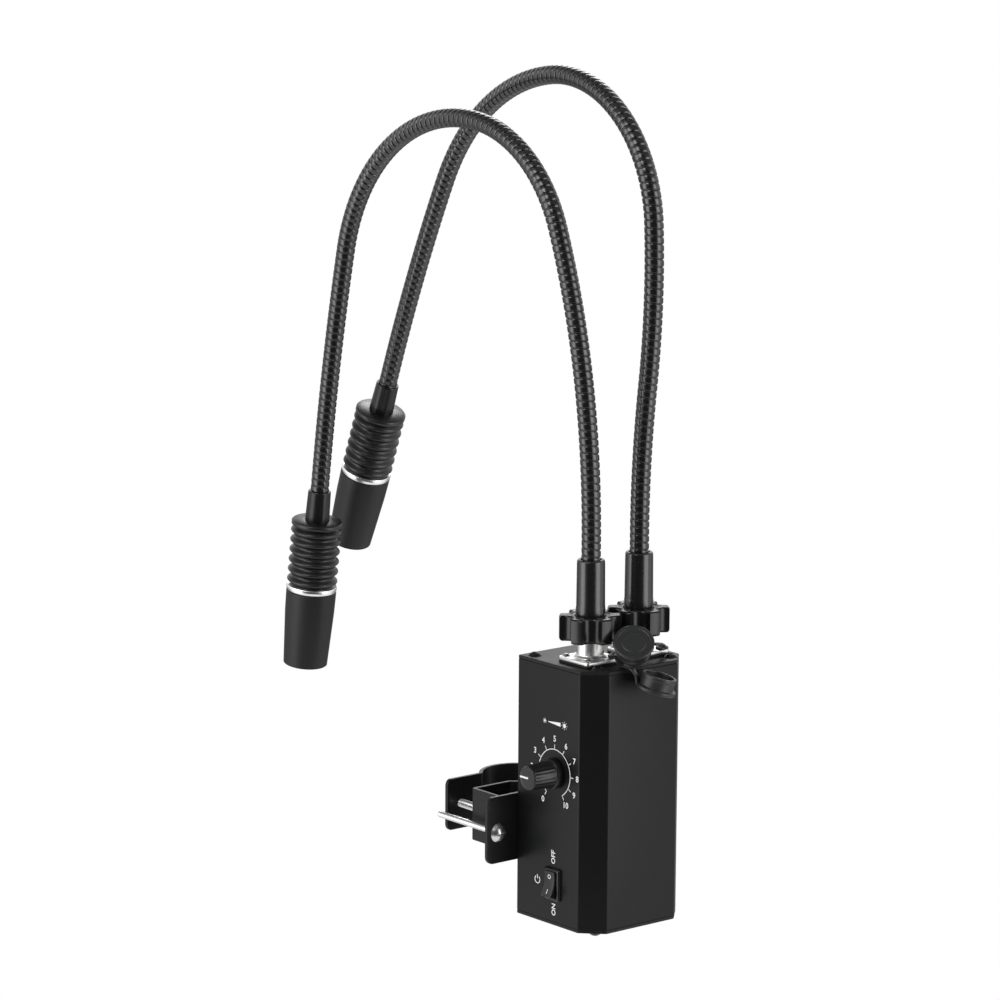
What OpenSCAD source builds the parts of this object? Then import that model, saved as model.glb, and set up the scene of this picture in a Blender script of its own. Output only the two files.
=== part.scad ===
// Gooseneck LED illuminator: a driver case on a pole clamp, with two plug-in bendable lamp arms.
// Millimetres, +Z up. The origin is on the pole axis at the middle of the clamp jaws.
// +X runs from the pole into the case, and -Y is the side with the dimmer and the switch.

/* [Pole clamp] */
// Diameter of the pole that the jaws hold
pole_d = 32; // [26:0.5:34]
// Height of the clamp jaws
jaw_h = 24.2; // [20:0.1:27]
// Thickness of the jaw and channel sheet
jaw_t = 1.8; // [1.4:0.1:2.2]
// Distance from the pole axis to the near face of the case
pole_to_case = 35; // [34:0.5:44]
// Height of the clamp centre above the underside of the case
clamp_rise = 42; // [36:1:60]
// Spacing of the two clamp bolts
bolt_gap = 53.2; // [50:0.2:56]

/* [Case] */
// Width of the case along X
case_w = 52; // [50:0.5:60]
// Depth of the case along Y
case_d = 58.6; // [57:0.2:66]
// Height of the case with its two covers
case_h = 120; // [114:1:140]
// Size of the slanted corners on the far side
corner_cut = 9.3; // [7:0.1:10]
// Wall thickness of the case tube
case_wall = 2; // [1.6:0.1:2.4]
// Thickness of the top and bottom covers
cover_t = 1.6; // [1.2:0.1:2.4]

/* [Sockets and nuts] */
// Spacing of the two lamp sockets
socket_gap = 28.4; // [28:0.1:30]
// Width of the square socket flange
flange_w = 20.6; // [19.6:0.1:21.6]
// Outer radius of the lobed coupling nut
nut_r = 14; // [12.6:0.1:14]
// Height of the coupling nut
nut_h = 11.6; // [10:0.1:13]
// Length of the sleeve above the coupling nut
sleeve_len = 25; // [20:0.5:32]

/* [Arms] */
// Diameter of the bendable neck over its ribs
neck_d = 8.7; // [8:0.1:9]
// Bore of the neck for the lamp leads
neck_bore = 4.8; // [4:0.1:5.2]
// Outward splay of each arm
arm_splay = 1.4; // [0:0.1:4]

/* [Lamp heads] */
// Diameter of the finned heat sink
sink_d = 24.2; // [22.4:0.2:26]
// Length of the finned heat sink
sink_len = 32; // [26:0.5:36]
// Length of the lamp barrel
barrel_len = 37.4; // [30:0.2:44]
// Diameter of the lamp mouth
mouth_d = 21; // [20:0.2:22]

/* [Controls] */
// Height of the dimmer axis above the clamp centre
dimmer_z = 28.5; // [24:0.5:34]
// How far the knob stands out from the case
knob_out = 16; // [14:0.5:20]
// Diameter of the knob skirt
knob_d = 14; // [13.4:0.1:16]
// Distance of the switch centre below the clamp centre
switch_drop = 22.8; // [16:0.2:26]

/* [Hidden] */
// Pieces of the assembly, each drawn by the module of the same name
$fn = 28;
// Gaps: between pieces that slide or turn past each other, round a running shaft, round a fixed screw
run_gap = 0.3;
shaft_gap = 0.05;
fix_gap = 0.05;
// Paint and metal colours
c_case = [0.16, 0.165, 0.17];
c_black = [0.05, 0.05, 0.055];
c_steel = [0.75, 0.76, 0.78];
c_rubber = [0.12, 0.12, 0.125];
c_board = [0.08, 0.3, 0.16];

// Case planes
x_near = pole_to_case;
x_far = pole_to_case + case_w;
x_mid = pole_to_case + case_w / 2;
y_face = case_d / 2;
z_base = -clamp_rise;
z_top = z_base + case_h;
tube_z0 = z_base + cover_t;
tube_h = case_h - 2 * cover_t;
inner_x = x_near + case_wall;
inner_y = y_face - case_wall;
// Case screws: near ones close to the square corners, far ones inside the slanted corners
boss_r = 3;
screw_r = 1.45;
near_inset = 6;
near_side = 4.8;
far_inset = 6.2;
far_side = 7.8;
case_screw_at = [for (s = [-1, 1]) each [
    [x_near + near_inset, s * (y_face - near_side)],
    [x_far - far_inset, s * (y_face - far_side)]]];
case_head_r = 3.1;
case_head_h = 1.7;
case_screw_len = 10;

// Sockets, stacked upwards from the top cover
// The sockets keep clear of the far case screws
head_clear = 0.4;
socket_x = x_far - far_inset - case_head_r - head_clear - flange_w / 2;
gasket_t = 1;
flange_t = 1.8;
shell_r = 6.2;
shell_bore = 4.6;
shell_below = 6;
flange_z = z_top + gasket_t;
nut_z = flange_z + flange_t + 7.6;
nut_top = nut_z + nut_h;
lip_t = 1.5;
collar_t = 1.8;
lip_z = nut_top - lip_t;
collar_z = lip_z - run_gap - collar_t;
collar_r = 7.4;
sleeve_r0 = 6.6;
sleeve_r1 = neck_d / 2 + 1.9;
sleeve_top = nut_top + sleeve_len;
seat_depth = 4;
plug_nose = 10;
nose_r = shell_bore - run_gap;
flange_hole = 7.6;
flange_screw_r = 1.05;
flange_head_r = 1.9;
flange_head_h = 1.1;
strap_t = 1;
insert_top = collar_z - plug_nose - 1;
lobe_n = 6;
lobe_turn = -8;
scallop_r = 4.6;

// Arms: each row is the length and the turn of one arc, from the sleeve to the lamp head
front_path = [[12, 0], [61.7, 8.4], [78, 12.3], [76, 65.2], [124, 81.9], [105.9, 4.7], [10, 0]];
rear_path = [[12, 0], [67.7, -7.6], [72, 10.7], [106, 94.3], [100, 55.6], [98, 6], [10, 0]];
// Distances along each neck at which it is allowed to bend
front_bend = [0, 73.7, 151.7, 227.7, 351.7, 467.6];
rear_bend = [0, 79.7, 151.7, 257.7, 357.7, 465.7];
neck_z0 = sleeve_top - seat_depth + run_gap;
neck_r = neck_d / 2;
groove_r = neck_r - 0.5;
bore_r = neck_bore / 2;
rib_pitch = 4.05;
bore_step = 15;
sides = 8;
// Ball-shaped ends of the neck lengths: the inner ball and the cup round it
ball_r = 5.2;
cup_r = 5.9;

// Lamp head, measured from the end of the neck
stub_r = neck_r + 1.45;
stub_z = 3.2;
stub_end = 18;
ring_len = 2.5;
ring_z = stub_end + sink_len;
barrel_z = ring_z + ring_len;
head_end = barrel_z + barrel_len;
fin_n = 7;
fin_pitch = sink_len / fin_n;
fin_t = fin_pitch * 0.62;
sink_r = sink_d / 2;
core_r = sink_r - 2.6;
lead_r = 3;
barrel_r = sink_r - 0.1;
lens_r = mouth_d / 2 - 1.5;
lens_deep = 2.2;
lens_t = 3.2;
led_r = lens_r + 0.6;

// Dimmer
dimmer_y = -y_face;
pot_r = 8.2;
pot_deep = 9;
bush_r = 3.4;
bush_bore = 2.6;
bush_out = 5;
pot_nut_r = 5.6;
pot_nut_t = 1.8;
shaft_r = bush_bore - shaft_gap;
knob_off = 0.8;
skirt_h = 3.4;
knob_tip_r = 5.35;
knob_roof = 2.4;
knob_body_r = knob_d / 2 - 0.6;
knob_rim_r = knob_tip_r + 0.4;
knob_taper = atan((knob_body_r - knob_rim_r) / (knob_out - 0.8 - bush_out - 2));
flute_n = 20;
flute_r = 0.9;
flute_off = 0.5;

// Switch
switch_z = -switch_drop;
bezel_w = 10.5;
bezel_h = 15;
bezel_t = 1.6;
rocker_w = 6.8;
rocker_h = 11.8;
rocker_gap = 0.4;
pivot_deep = 0.9;
pin_r = 0.6;
pin_len = 0.45;
rocker_tilt = 11;
switch_deep = 12;
body_w = 9;
body_h = 13.4;

// Power inlet on the rear face
inlet_z = z_base + 18;
inlet_r = 5.5;
inlet_head_r = 7;
inlet_head_t = 2;
inlet_deep = 12;
inlet_hole = 3.2;
inlet_pin_r = 1.05;
inlet_pocket = 10;

// Driver board on the near wall
board_x = inner_x + 7;
board_t = 1.6;
board_w = 40;
board_z0 = z_base + 12;
board_h = 78;
standoff_r = 2.5;
standoff_at = [for (s = [-1, 1]) each [[s * 16.5, board_z0 + 4], [s * 16.5, board_z0 + board_h - 4]]];

// Clamp: flats of the channel and jaw beside the pole, each inside the pole radius
pole_r = pole_d / 2;
in_flat = 9.5;
out_flat = 8.4;
web_y = bolt_gap / 2 + 8.7;
jaw_end = bolt_gap / 2 + 7.9;
bolt_r = 2;
bolt_head_r = 4;
bolt_head_t = 2.8;
jaw_nut_t = 3;
jaw_nut_r = 4;
jaw_travel = 2;
bolt_tip = out_flat + jaw_t + 0.1 + jaw_nut_t + jaw_travel + 0.5;
plate_t = 2;
plate_w = 2 * (web_y + 11.2);
plate_z0 = -jaw_h / 2 - 4.9;
plate_h = jaw_h + 6.8;
plate_x = pole_to_case - plate_t;
rod_y = web_y + 5;
rod_z = -2.7;
rod_r = 1.5;
rod_tip = -7;
rod_head_r = 4.4;
rod_head_h = 3;
rod_nut_t = 2.4;
plate_screw_r = 1.5;
plate_screw_y = y_face - near_side - boss_r - plate_screw_r - head_clear;
plate_screw_at = [for (s = [-1, 1], z = [-1, 1]) [s * plate_screw_y, z * (jaw_h / 2 - 4.6)]];

// Dust caps on straps
cap_disc_r = 9.2;
cap_disc_t = 2;
cap_r = 7.9;
cap_bore = 6.5;
cap_deep = 5.6;
strap_w = 3.2;

// Shared shapes

// A round-head screw with its underside at zero and a hex recess
module button_screw(head_r, head_h, shank_r, length) {
    dome = (head_r * head_r + head_h * head_h) / (2 * head_h);
    difference() {
        union() {
            intersection() {
                translate([0, 0, head_h - dome])
                    sphere(r = dome);
                cylinder(h = head_h, r = head_r);
            }
            translate([0, 0, -length])
                cylinder(h = length, r = shank_r);
        }
        translate([0, 0, head_h * 0.4])
            cylinder(h = head_h, r = head_r * 0.38, $fn = 6);
    }
}

// A flat plate in the YZ plane with rounded corners, from x to x + t
module rounded_plate(x, t, w, z0, h, r) {
    translate([x, -w / 2 + r, z0])
        cube([t, w - 2 * r, h]);
    translate([x, -w / 2, z0 + r])
        cube([t, w, h - 2 * r]);
    for (s = [-1, 1], z = [z0 + r, z0 + h - r])
        translate([x, s * (w / 2 - r), z])
            rotate([0, 90, 0])
                cylinder(h = t, r = r);
}

// A square plate with rounded corners, lying on z
module rounded_square(w, z, t, r) {
    translate([-w / 2 + r, -w / 2, z])
        cube([w - 2 * r, w, t]);
    translate([-w / 2, -w / 2 + r, z])
        cube([w, w - 2 * r, t]);
    for (sx = [-1, 1], sy = [-1, 1])
        translate([sx * (w / 2 - r), sy * (w / 2 - r), z])
            cylinder(h = t, r = r);
}

// The plan of the case, drawn in by a margin
module case_plan(z, h, m) {
    cut = corner_cut - m * (2 - sqrt(2));
    translate([0, 0, z])
        linear_extrude(height = h)
            polygon([
                [x_near + m, -y_face + m],
                [x_far - m - cut, -y_face + m],
                [x_far - m, -y_face + m + cut],
                [x_far - m, y_face - m - cut],
                [x_far - m - cut, y_face - m],
                [x_near + m, y_face - m]]);
}

// Case

module case_tube() color(c_case) {
    difference() {
        union() {
            difference() {
                case_plan(tube_z0, tube_h, 0);
                case_plan(tube_z0 - 1, tube_h + 2, case_wall);
            }
            intersection() {
                case_plan(tube_z0, tube_h, 0.4);
                union()
                    for (p = case_screw_at)
                        translate([p[0], p[1], tube_z0])
                            cylinder(h = tube_h, r = boss_r);
            }
        }
        for (p = case_screw_at)
            translate([p[0], p[1], tube_z0 - 1])
                cylinder(h = tube_h + 2, r = screw_r + fix_gap);
        translate([x_mid, dimmer_y - 1, dimmer_z])
            rotate([-90, 0, 0])
                cylinder(h = case_wall + 2, r = bush_r + fix_gap);
        translate([x_mid - body_w / 2 - 0.1, -y_face - 1, switch_z - body_h / 2 - 0.1])
            cube([body_w + 0.2, case_wall + 2, body_h + 0.2]);
        translate([x_mid, inner_y - 1, inlet_z])
            rotate([-90, 0, 0])
                cylinder(h = case_wall + 2, r = inlet_r + fix_gap);
        for (p = plate_screw_at)
            translate([x_near - 1, p[0], p[1]])
                rotate([0, 90, 0])
                    cylinder(h = case_wall + 2, r = plate_screw_r + fix_gap);
    }
}

module top_plate() color(c_case) {
    difference() {
        case_plan(z_top - cover_t, cover_t, 0);
        for (p = case_screw_at)
            translate([p[0], p[1], z_top - cover_t - 1])
                cylinder(h = cover_t + 2, r = screw_r + fix_gap);
        for (s = [-1, 1])
            translate([socket_x, s * socket_gap / 2, z_top - cover_t - 1]) {
                cylinder(h = cover_t + 2, r = shell_r + 0.2);
                flange_holes(cover_t + 2);
            }
    }
}

module bottom_plate() color(c_case) {
    difference() {
        case_plan(z_base, cover_t, 0);
        for (p = case_screw_at)
            translate([p[0], p[1], z_base - 1])
                cylinder(h = cover_t + 2, r = screw_r + fix_gap);
    }
}

module case_screws() color(c_black) {
    for (p = case_screw_at) {
        translate([p[0], p[1], z_top])
            button_screw(case_head_r, case_head_h, screw_r, case_screw_len);
        translate([p[0], p[1], z_base])
            rotate([180, 0, 0])
                button_screw(case_head_r, case_head_h, screw_r, case_screw_len);
    }
}

// Sockets

module flange_holes(h) {
    for (sx = [-1, 1], sy = [-1, 1])
        translate([sx * flange_hole, sy * flange_hole, 0])
            cylinder(h = h, r = flange_screw_r + fix_gap);
}

module socket_gaskets() color(c_rubber) {
    for (s = [-1, 1])
        translate([socket_x, s * socket_gap / 2, 0])
            difference() {
                rounded_square(flange_w, z_top, gasket_t, 1.5);
                translate([0, 0, z_top - 1]) {
                    cylinder(h = gasket_t + 2, r = shell_r + 0.2);
                    flange_holes(gasket_t + 2);
                }
            }
}

module socket_at(s) color(c_steel) {
    translate([socket_x, s * socket_gap / 2, 0])
        difference() {
            union() {
                rounded_square(flange_w, flange_z, flange_t, 1.5);
                translate([0, 0, z_top - shell_below])
                    cylinder(h = collar_z - z_top + shell_below, r = shell_r);
            }
            translate([0, 0, z_top - shell_below - 1])
                cylinder(h = collar_z - z_top + shell_below + 2, r = shell_bore);
            translate([0, 0, flange_z - 1])
                flange_holes(flange_t + 2);
        }
}

module socket_front() socket_at(-1);

module socket_rear() socket_at(1);

// Four flange screws on each socket; the one at the far rear corner also holds the strap of a dust cap
module socket_screws() color(c_steel) {
    for (s = [-1, 1], sx = [-1, 1], sy = [-1, 1]) {
        lift = (sx > 0 && sy > 0) ? strap_t + 0.1 : 0;
        translate([socket_x + sx * flange_hole, s * socket_gap / 2 + sy * flange_hole, flange_z + flange_t + lift])
            button_screw(flange_head_r, flange_head_h, flange_screw_r, 7 + lift);
    }
}

module socket_inserts() color(c_black) {
    for (s = [-1, 1])
        translate([socket_x, s * socket_gap / 2, 0]) {
            translate([0, 0, z_top - shell_below + 1])
                cylinder(h = insert_top - z_top + shell_below - 1, r = shell_bore - fix_gap);
            for (a = [90, 210, 330])
                rotate([0, 0, a])
                    translate([1.3, 0, z_top - shell_below - 3])
                        cylinder(h = insert_top - z_top + shell_below + 6, r = 0.45);
        }
}

// Plug sleeve: nose in the socket, collar under the nut, tapered sleeve and a seat for the neck
module sleeve_at(s) color(c_black) {
    translate([socket_x, s * socket_gap / 2, 0])
        rotate_extrude()
            polygon([
                [bore_r, collar_z - plug_nose],
                [nose_r, collar_z - plug_nose],
                [nose_r, collar_z],
                [collar_r, collar_z],
                [collar_r, collar_z + collar_t],
                [sleeve_r0, collar_z + collar_t],
                [sleeve_r0, nut_top + 3],
                [sleeve_r1, sleeve_top - 0.6],
                [sleeve_r1 - 0.5, sleeve_top],
                [neck_r + 0.4, sleeve_top],
                [neck_r + 0.4, sleeve_top - seat_depth],
                [bore_r, sleeve_top - seat_depth]]);
}

module sleeve_front() sleeve_at(-1);

module sleeve_rear() sleeve_at(1);

module nut_at(s) color(c_black) {
    translate([socket_x, s * socket_gap / 2, 0])
        difference() {
            translate([0, 0, nut_z])
                cylinder(h = nut_h, r = nut_r);
            for (i = [0 : lobe_n - 1])
                rotate([0, 0, lobe_turn + (i + 0.5) * 360 / lobe_n])
                    translate([nut_r + 0.6, 0, nut_z - 1])
                        cylinder(h = nut_h + 2, r = scallop_r);
            translate([0, 0, nut_z - 1])
                cylinder(h = nut_h + 2, r = sleeve_r0 + run_gap);
            translate([0, 0, collar_z - 0.4])
                cylinder(h = lip_z - collar_z + 0.4, r = collar_r + run_gap);
        }
}

module nut_front() nut_at(-1);

module nut_rear() nut_at(1);

// Arms

// Position and heading after a distance s along an arc of length l and turn t
function along(p, l, t, s) = abs(t) < 0.01
    ? [p[0] + s * cos(p[2]), p[1] + s * sin(p[2]), p[2]]
    : let (rad = l * 180 / (PI * t), a = t * s / l)
        [p[0] + rad * (sin(p[2] + a) - sin(p[2])), p[1] - rad * (cos(p[2] + a) - cos(p[2])), p[2] + a];

// Position and heading after a distance s along a whole path
function path_at(path, s, i = 0, p = [0, neck_z0, 90]) =
    (i == len(path) - 1 || s <= path[i][0])
        ? along(p, path[i][0], path[i][1], s)
        : path_at(path, s - path[i][0], i + 1, along(p, path[i][0], path[i][1], path[i][0]));

// A ring of points of radius r, moved straight on by d from the distance s
function ring_at(path, s, d, r) = let (p = path_at(path, s))
    [for (k = [0 : sides - 1]) let (f = 360 * k / sides) [
        p[0] + d * cos(p[2]) - r * cos(f) * sin(p[2]),
        r * sin(f),
        p[1] + d * sin(p[2]) + r * cos(f) * cos(p[2])]];

// Depth at which a ball of radius b passes through a radius r
function ball_z(b, r) = sqrt(b * b - r * r);

// Triangles between ring i and ring i + 1, counted from the first point at base
function band(base, i, flip) = [for (k = [0 : sides - 1])
    let (a = base + i * sides + k, b = base + i * sides + (k + 1) % sides, c = a + sides, d = b + sides)
        each flip ? [[a, b, c], [b, d, c]] : [[a, c, b], [b, c, d]]];

// Triangles from an outer ring at a to an inner ring at b
function end_face(a, b, flip) = [for (k = [0 : sides - 1])
    let (a1 = a + k, a2 = a + (k + 1) % sides, b1 = b + k, b2 = b + (k + 1) % sides)
        each flip ? [[a1, b1, a2], [a2, b1, b2]] : [[a1, a2, b1], [a2, b2, b1]]];

// One ribbed length of neck between two bends, with a bore, a cup at its start and a ball at its end
module neck(path, bend, k) {
    s0 = bend[k];
    s1 = bend[k + 1];
    first = k == 0;
    z_cup = first ? 0 : ball_z(cup_r, neck_r);
    z_bore = first ? 0 : ball_z(cup_r, bore_r);
    span0 = s0 + z_cup + 0.6;
    span1 = s1 - 0.4;
    ribs = floor((span1 - span0) / rib_pitch);
    pitch = (span1 - span0) / ribs;
    bores = max(1, floor((s1 - s0) / bore_step));
    outer = concat(
        [ring_at(path, s0, z_cup, neck_r)],
        [for (i = [0 : ribs - 1]) each [
            ring_at(path, span0 + (i + 0.35) * pitch, 0, groove_r),
            ring_at(path, span0 + (i + 0.85) * pitch, 0, neck_r)]],
        [ring_at(path, s1, ball_z(ball_r, neck_r), neck_r)]);
    inner = concat(
        [ring_at(path, s0, z_bore, bore_r)],
        [for (i = [1 : bores]) ring_at(path, s0 + 6 + (s1 - s0 - 9) * i / (bores + 0.6), 0, bore_r)],
        [ring_at(path, s1, ball_z(ball_r, bore_r), bore_r)]);
    n_out = len(outer);
    n_in = len(inner);
    base = n_out * sides;
    polyhedron(
        points = [for (r = concat(outer, inner)) each r],
        faces = concat(
            [for (i = [0 : n_out - 2]) each band(0, i, false)],
            [for (i = [0 : n_in - 2]) each band(base, i, true)],
            end_face(0, base, false),
            end_face((n_out - 1) * sides, base + (n_in - 1) * sides, true)));
}

// Places an arm drawn in the XZ plane on its socket, splayed outwards
module on_socket(s) {
    translate([socket_x, s * socket_gap / 2, 0])
        rotate([0, 0, -s * arm_splay])
            children();
}

module neck_front(k) color(c_black) on_socket(-1) neck(front_path, front_bend, k);

module neck_rear(k) color(c_black) on_socket(1) neck(rear_path, rear_bend, k);

module neck_front_1() neck_front(0);

module neck_front_2() neck_front(1);

module neck_front_3() neck_front(2);

module neck_front_4() neck_front(3);

module neck_front_5() neck_front(4);

module neck_rear_1() neck_rear(0);

module neck_rear_2() neck_rear(1);

module neck_rear_3() neck_rear(2);

module neck_rear_4() neck_rear(3);

module neck_rear_5() neck_rear(4);

// Places a head piece, drawn along +Z from the end of the neck
module on_neck(s) {
    path = s < 0 ? front_path : rear_path;
    p = path_at(path, s < 0 ? front_bend[5] : rear_bend[5]);
    on_socket(s)
        translate([p[0], 0, p[1]])
            rotate([0, 90 - p[2], 0])
                children();
}

// Lamp heads

module stub_at(s) color(c_black) on_neck(s)
    difference() {
        translate([0, 0, stub_z])
            cylinder(h = stub_end - stub_z, r1 = stub_r - 0.4, r2 = stub_r);
        sphere(r = cup_r);
        cylinder(h = stub_end + 1, r = bore_r);
    }

module stub_front() stub_at(-1);

module stub_rear() stub_at(1);

// Half-width profile of one rounded fin, from its lower to its upper edge
function fin_edge(z) = [for (a = [-90 : 30 : 90])
    [sink_r - fin_t / 2 + fin_t / 2 * cos(a), z + fin_t / 2 + fin_t / 2 * sin(a)]];

module sink_at(s) color(c_black) on_neck(s)
    translate([0, 0, stub_end])
        rotate_extrude()
            polygon(concat(
                [[lead_r, 0]],
                [[sink_r - 0.4, 0], [sink_r, 0.4], [sink_r, fin_t - 0.4], [sink_r - 0.4, fin_t], [core_r, fin_t]],
                [for (i = [1 : fin_n - 1]) let (z = i * fin_pitch)
                    each concat([[core_r, z]], fin_edge(z), [[core_r, z + fin_t]])],
                [[core_r, sink_len], [lead_r, sink_len]]));

module sink_front() sink_at(-1);

module sink_rear() sink_at(1);

module ring_at_head(s) color(c_steel) on_neck(s)
    difference() {
        translate([0, 0, ring_z])
            cylinder(h = ring_len, r = sink_r - 0.1);
        translate([0, 0, ring_z - 1])
            cylinder(h = ring_len + 2, r = led_r + 0.1);
    }

module ring_front() ring_at_head(-1);

module ring_rear() ring_at_head(1);

module barrel_at(s) color(c_black) on_neck(s)
    rotate_extrude()
        polygon([
            [lens_r + fix_gap, barrel_z],
            [barrel_r - 0.5, barrel_z],
            [barrel_r, barrel_z + 0.5],
            [barrel_r, barrel_z + barrel_len * 0.3],
            [mouth_d / 2, head_end - 0.4],
            [mouth_d / 2 - 0.4, head_end],
            [lens_r + fix_gap, head_end]]);

module barrel_front() barrel_at(-1);

module barrel_rear() barrel_at(1);

// Plano-convex lens, held a little inside the mouth
module lens_at(s) color([0.85, 0.9, 0.95, 0.6]) on_neck(s) {
    bulge = 1.2;
    dome = (lens_r * lens_r + bulge * bulge) / (2 * bulge);
    translate([0, 0, head_end - lens_deep - lens_t])
        intersection() {
            cylinder(h = lens_t, r = lens_r);
            translate([0, 0, lens_t - dome])
                sphere(r = dome);
        }
}

module lens_front() lens_at(-1);

module lens_rear() lens_at(1);

// Round light board on the end of the heat sink
module led_at(s) color([0.9, 0.88, 0.7]) on_neck(s) {
    translate([0, 0, ring_z])
        cylinder(h = 1.6, r = led_r);
    translate([-2.6, -2.6, ring_z + 1.6])
        cube([5.2, 5.2, 1.2]);
    translate([0, 0, ring_z + 2.8])
        cylinder(h = 1.2, r1 = 2.2, r2 = 1.4);
}

module led_front() led_at(-1);

module led_rear() led_at(1);

// Dimmer

// Turns a piece drawn along +Z so that it stands out of the front face at the dimmer
module on_dimmer() {
    translate([x_mid, dimmer_y, dimmer_z])
        rotate([90, 0, 0])
            children();
}

module dimmer_pot() color(c_steel) on_dimmer()
    difference() {
        union() {
            translate([0, 0, -case_wall - pot_deep])
                cylinder(h = pot_deep, r = pot_r);
            translate([0, 0, -case_wall])
                cylinder(h = case_wall + bush_out, r = bush_r);
            translate([-pot_r * 0.7, -pot_r - 4, -case_wall - 3.6])
                cube([pot_r * 1.4, 7, 1.6]);
        }
        translate([0, 0, -case_wall - pot_deep + 2])
            cylinder(h = pot_deep + case_wall + bush_out, r = bush_bore);
    }

module pot_nut() color(c_steel) on_dimmer()
    difference() {
        cylinder(h = pot_nut_t, r = pot_nut_r, $fn = 6);
        translate([0, 0, -1])
            cylinder(h = pot_nut_t + 2, r = bush_r + fix_gap);
    }

module pot_shaft() color(c_steel) on_dimmer()
    translate([0, 0, -case_wall - pot_deep + 2.2])
        cylinder(h = case_wall + pot_deep - 2.2 + knob_out - knob_roof, r = shaft_r);

// Knob with a hollow skirt over the nut, shallow flutes and a blind bore for the shaft
module dimmer_knob() color(c_black) on_dimmer()
    difference() {
        rotate_extrude()
            polygon([
                [shaft_r + fix_gap, bush_out + 0.8],
                [bush_r + 0.4, bush_out + 0.8],
                [bush_r + 0.4, pot_nut_t + 0.6],
                [pot_nut_r + 0.4, pot_nut_t + 0.6],
                [pot_nut_r + 0.4, knob_off],
                [knob_d / 2, knob_off],
                [knob_d / 2, skirt_h],
                [knob_d / 2 - 0.5, skirt_h + 0.5],
                [knob_body_r, bush_out + 2],
                [knob_rim_r, knob_out - 0.8],
                [knob_tip_r, knob_out],
                [0, knob_out],
                [0, knob_out - knob_roof + fix_gap],
                [shaft_r + fix_gap, knob_out - knob_roof + fix_gap]]);
        for (i = [0 : flute_n - 1])
            rotate([0, 0, (i + 0.5) * 360 / flute_n])
                translate([knob_body_r + flute_off, 0, bush_out + 2])
                    rotate([0, -knob_taper, 0])
                        translate([0, 0, skirt_h - bush_out - 0.8])
                            cylinder(h = knob_out, r = flute_r);
        rotate([0, 0, 180])
            translate([0, -0.4, knob_out - 0.4])
                cube([knob_d, 0.8, 1]);
    }

// Switch

// Turns a piece drawn with +Z outwards and +Y upwards so that it stands on the front face at the switch
module on_switch() {
    translate([x_mid, -y_face, switch_z])
        rotate([90, 0, 0])
            children();
}

module switch_frame() color(c_black) on_switch()
    difference() {
        union() {
            translate([-bezel_w / 2, -bezel_h / 2, 0])
                cube([bezel_w, bezel_h, bezel_t]);
            translate([-body_w / 2, -body_h / 2, -switch_deep])
                cube([body_w, body_h, switch_deep]);
            for (y = [-4, 4])
                translate([-2.4, y - 0.4, -switch_deep - 6])
                    cube([4.8, 0.8, 6]);
        }
        translate([-rocker_w / 2 - rocker_gap, -rocker_h / 2 - rocker_gap, bezel_t - 5])
            cube([rocker_w + 2 * rocker_gap, rocker_h + 2 * rocker_gap, 6]);
        translate([0, 0, bezel_t - pivot_deep])
            rotate([0, 90, 0])
                cylinder(h = rocker_w + 2 * rocker_gap + 1.2, r = pin_r + shaft_gap, center = true);
    }

// Rocker with a shallow hollow face and a pivot pin, upper half pressed in
module switch_rocker() color(c_black) on_switch()
    translate([0, 0, bezel_t - pivot_deep])
        rotate([-rocker_tilt, 0, 0]) {
            translate([-rocker_w / 2, 0, 0])
                rotate([90, 0, 90])
                    linear_extrude(height = rocker_w)
                        polygon([
                            [-rocker_h / 2, 3.2],
                            [0, 2.1],
                            [rocker_h / 2, 3.2],
                            [rocker_h / 2, -0.8],
                            [3, -2],
                            [-3, -2],
                            [-rocker_h / 2, -0.8]]);
            rotate([0, 90, 0])
                cylinder(h = rocker_w + 2 * rocker_gap + 2 * pin_len, r = pin_r, center = true);
        }

// Power inlet

module on_inlet() {
    translate([x_mid, y_face, inlet_z])
        rotate([-90, 0, 0])
            children();
}

module dc_inlet() color(c_black) on_inlet() {
    difference() {
        union() {
            cylinder(h = inlet_head_t, r = inlet_head_r);
            translate([0, 0, -inlet_deep])
                cylinder(h = inlet_deep, r = inlet_r);
        }
        translate([0, 0, inlet_head_t - inlet_pocket])
            cylinder(h = inlet_pocket + 1, r = inlet_hole);
    }
}

// Centre contact, standing on the floor of the inlet's pocket
module inlet_pin() color(c_steel) on_inlet()
    translate([0, 0, inlet_head_t - inlet_pocket])
        cylinder(h = inlet_pocket - 1.5, r = inlet_pin_r);

module inlet_nut() color(c_steel) on_inlet()
    difference() {
        translate([0, 0, -case_wall - 2.4])
            cylinder(h = 2.4, r = 8, $fn = 6);
        translate([0, 0, -case_wall - 4])
            cylinder(h = 6, r = inlet_r + fix_gap);
    }

// Driver board

module driver_board() color(c_board)
    difference() {
        translate([board_x, -board_w / 2, board_z0])
            cube([board_t, board_w, board_h]);
        for (p = standoff_at)
            translate([board_x - 1, p[0], p[1]])
                rotate([0, 90, 0])
                    cylinder(h = board_t + 2, r = 1.3);
    }

// Coil, two capacitors, a control chip, a terminal strip and a cooling plate
module board_parts() color([0.2, 0.2, 0.22]) {
    face = board_x + board_t;
    translate([face, -6, board_z0 + 22])
        rotate([0, 90, 0])
            cylinder(h = 7, r = 6);
    for (y = [7, 15])
        translate([face, y - 2, board_z0 + 20])
            rotate([0, 90, 0])
                cylinder(h = 10, r = 3.4);
    translate([face, -0.3 * board_w, board_z0 + 0.46 * board_h])
        cube([1.8, 9, 7]);
    translate([face, -15, board_z0 + board_h - 16])
        cube([7, 26, 7]);
    translate([face, 0.1 * board_w, board_z0 + 0.44 * board_h])
        cube([9, 1.6, 14]);
}

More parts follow.
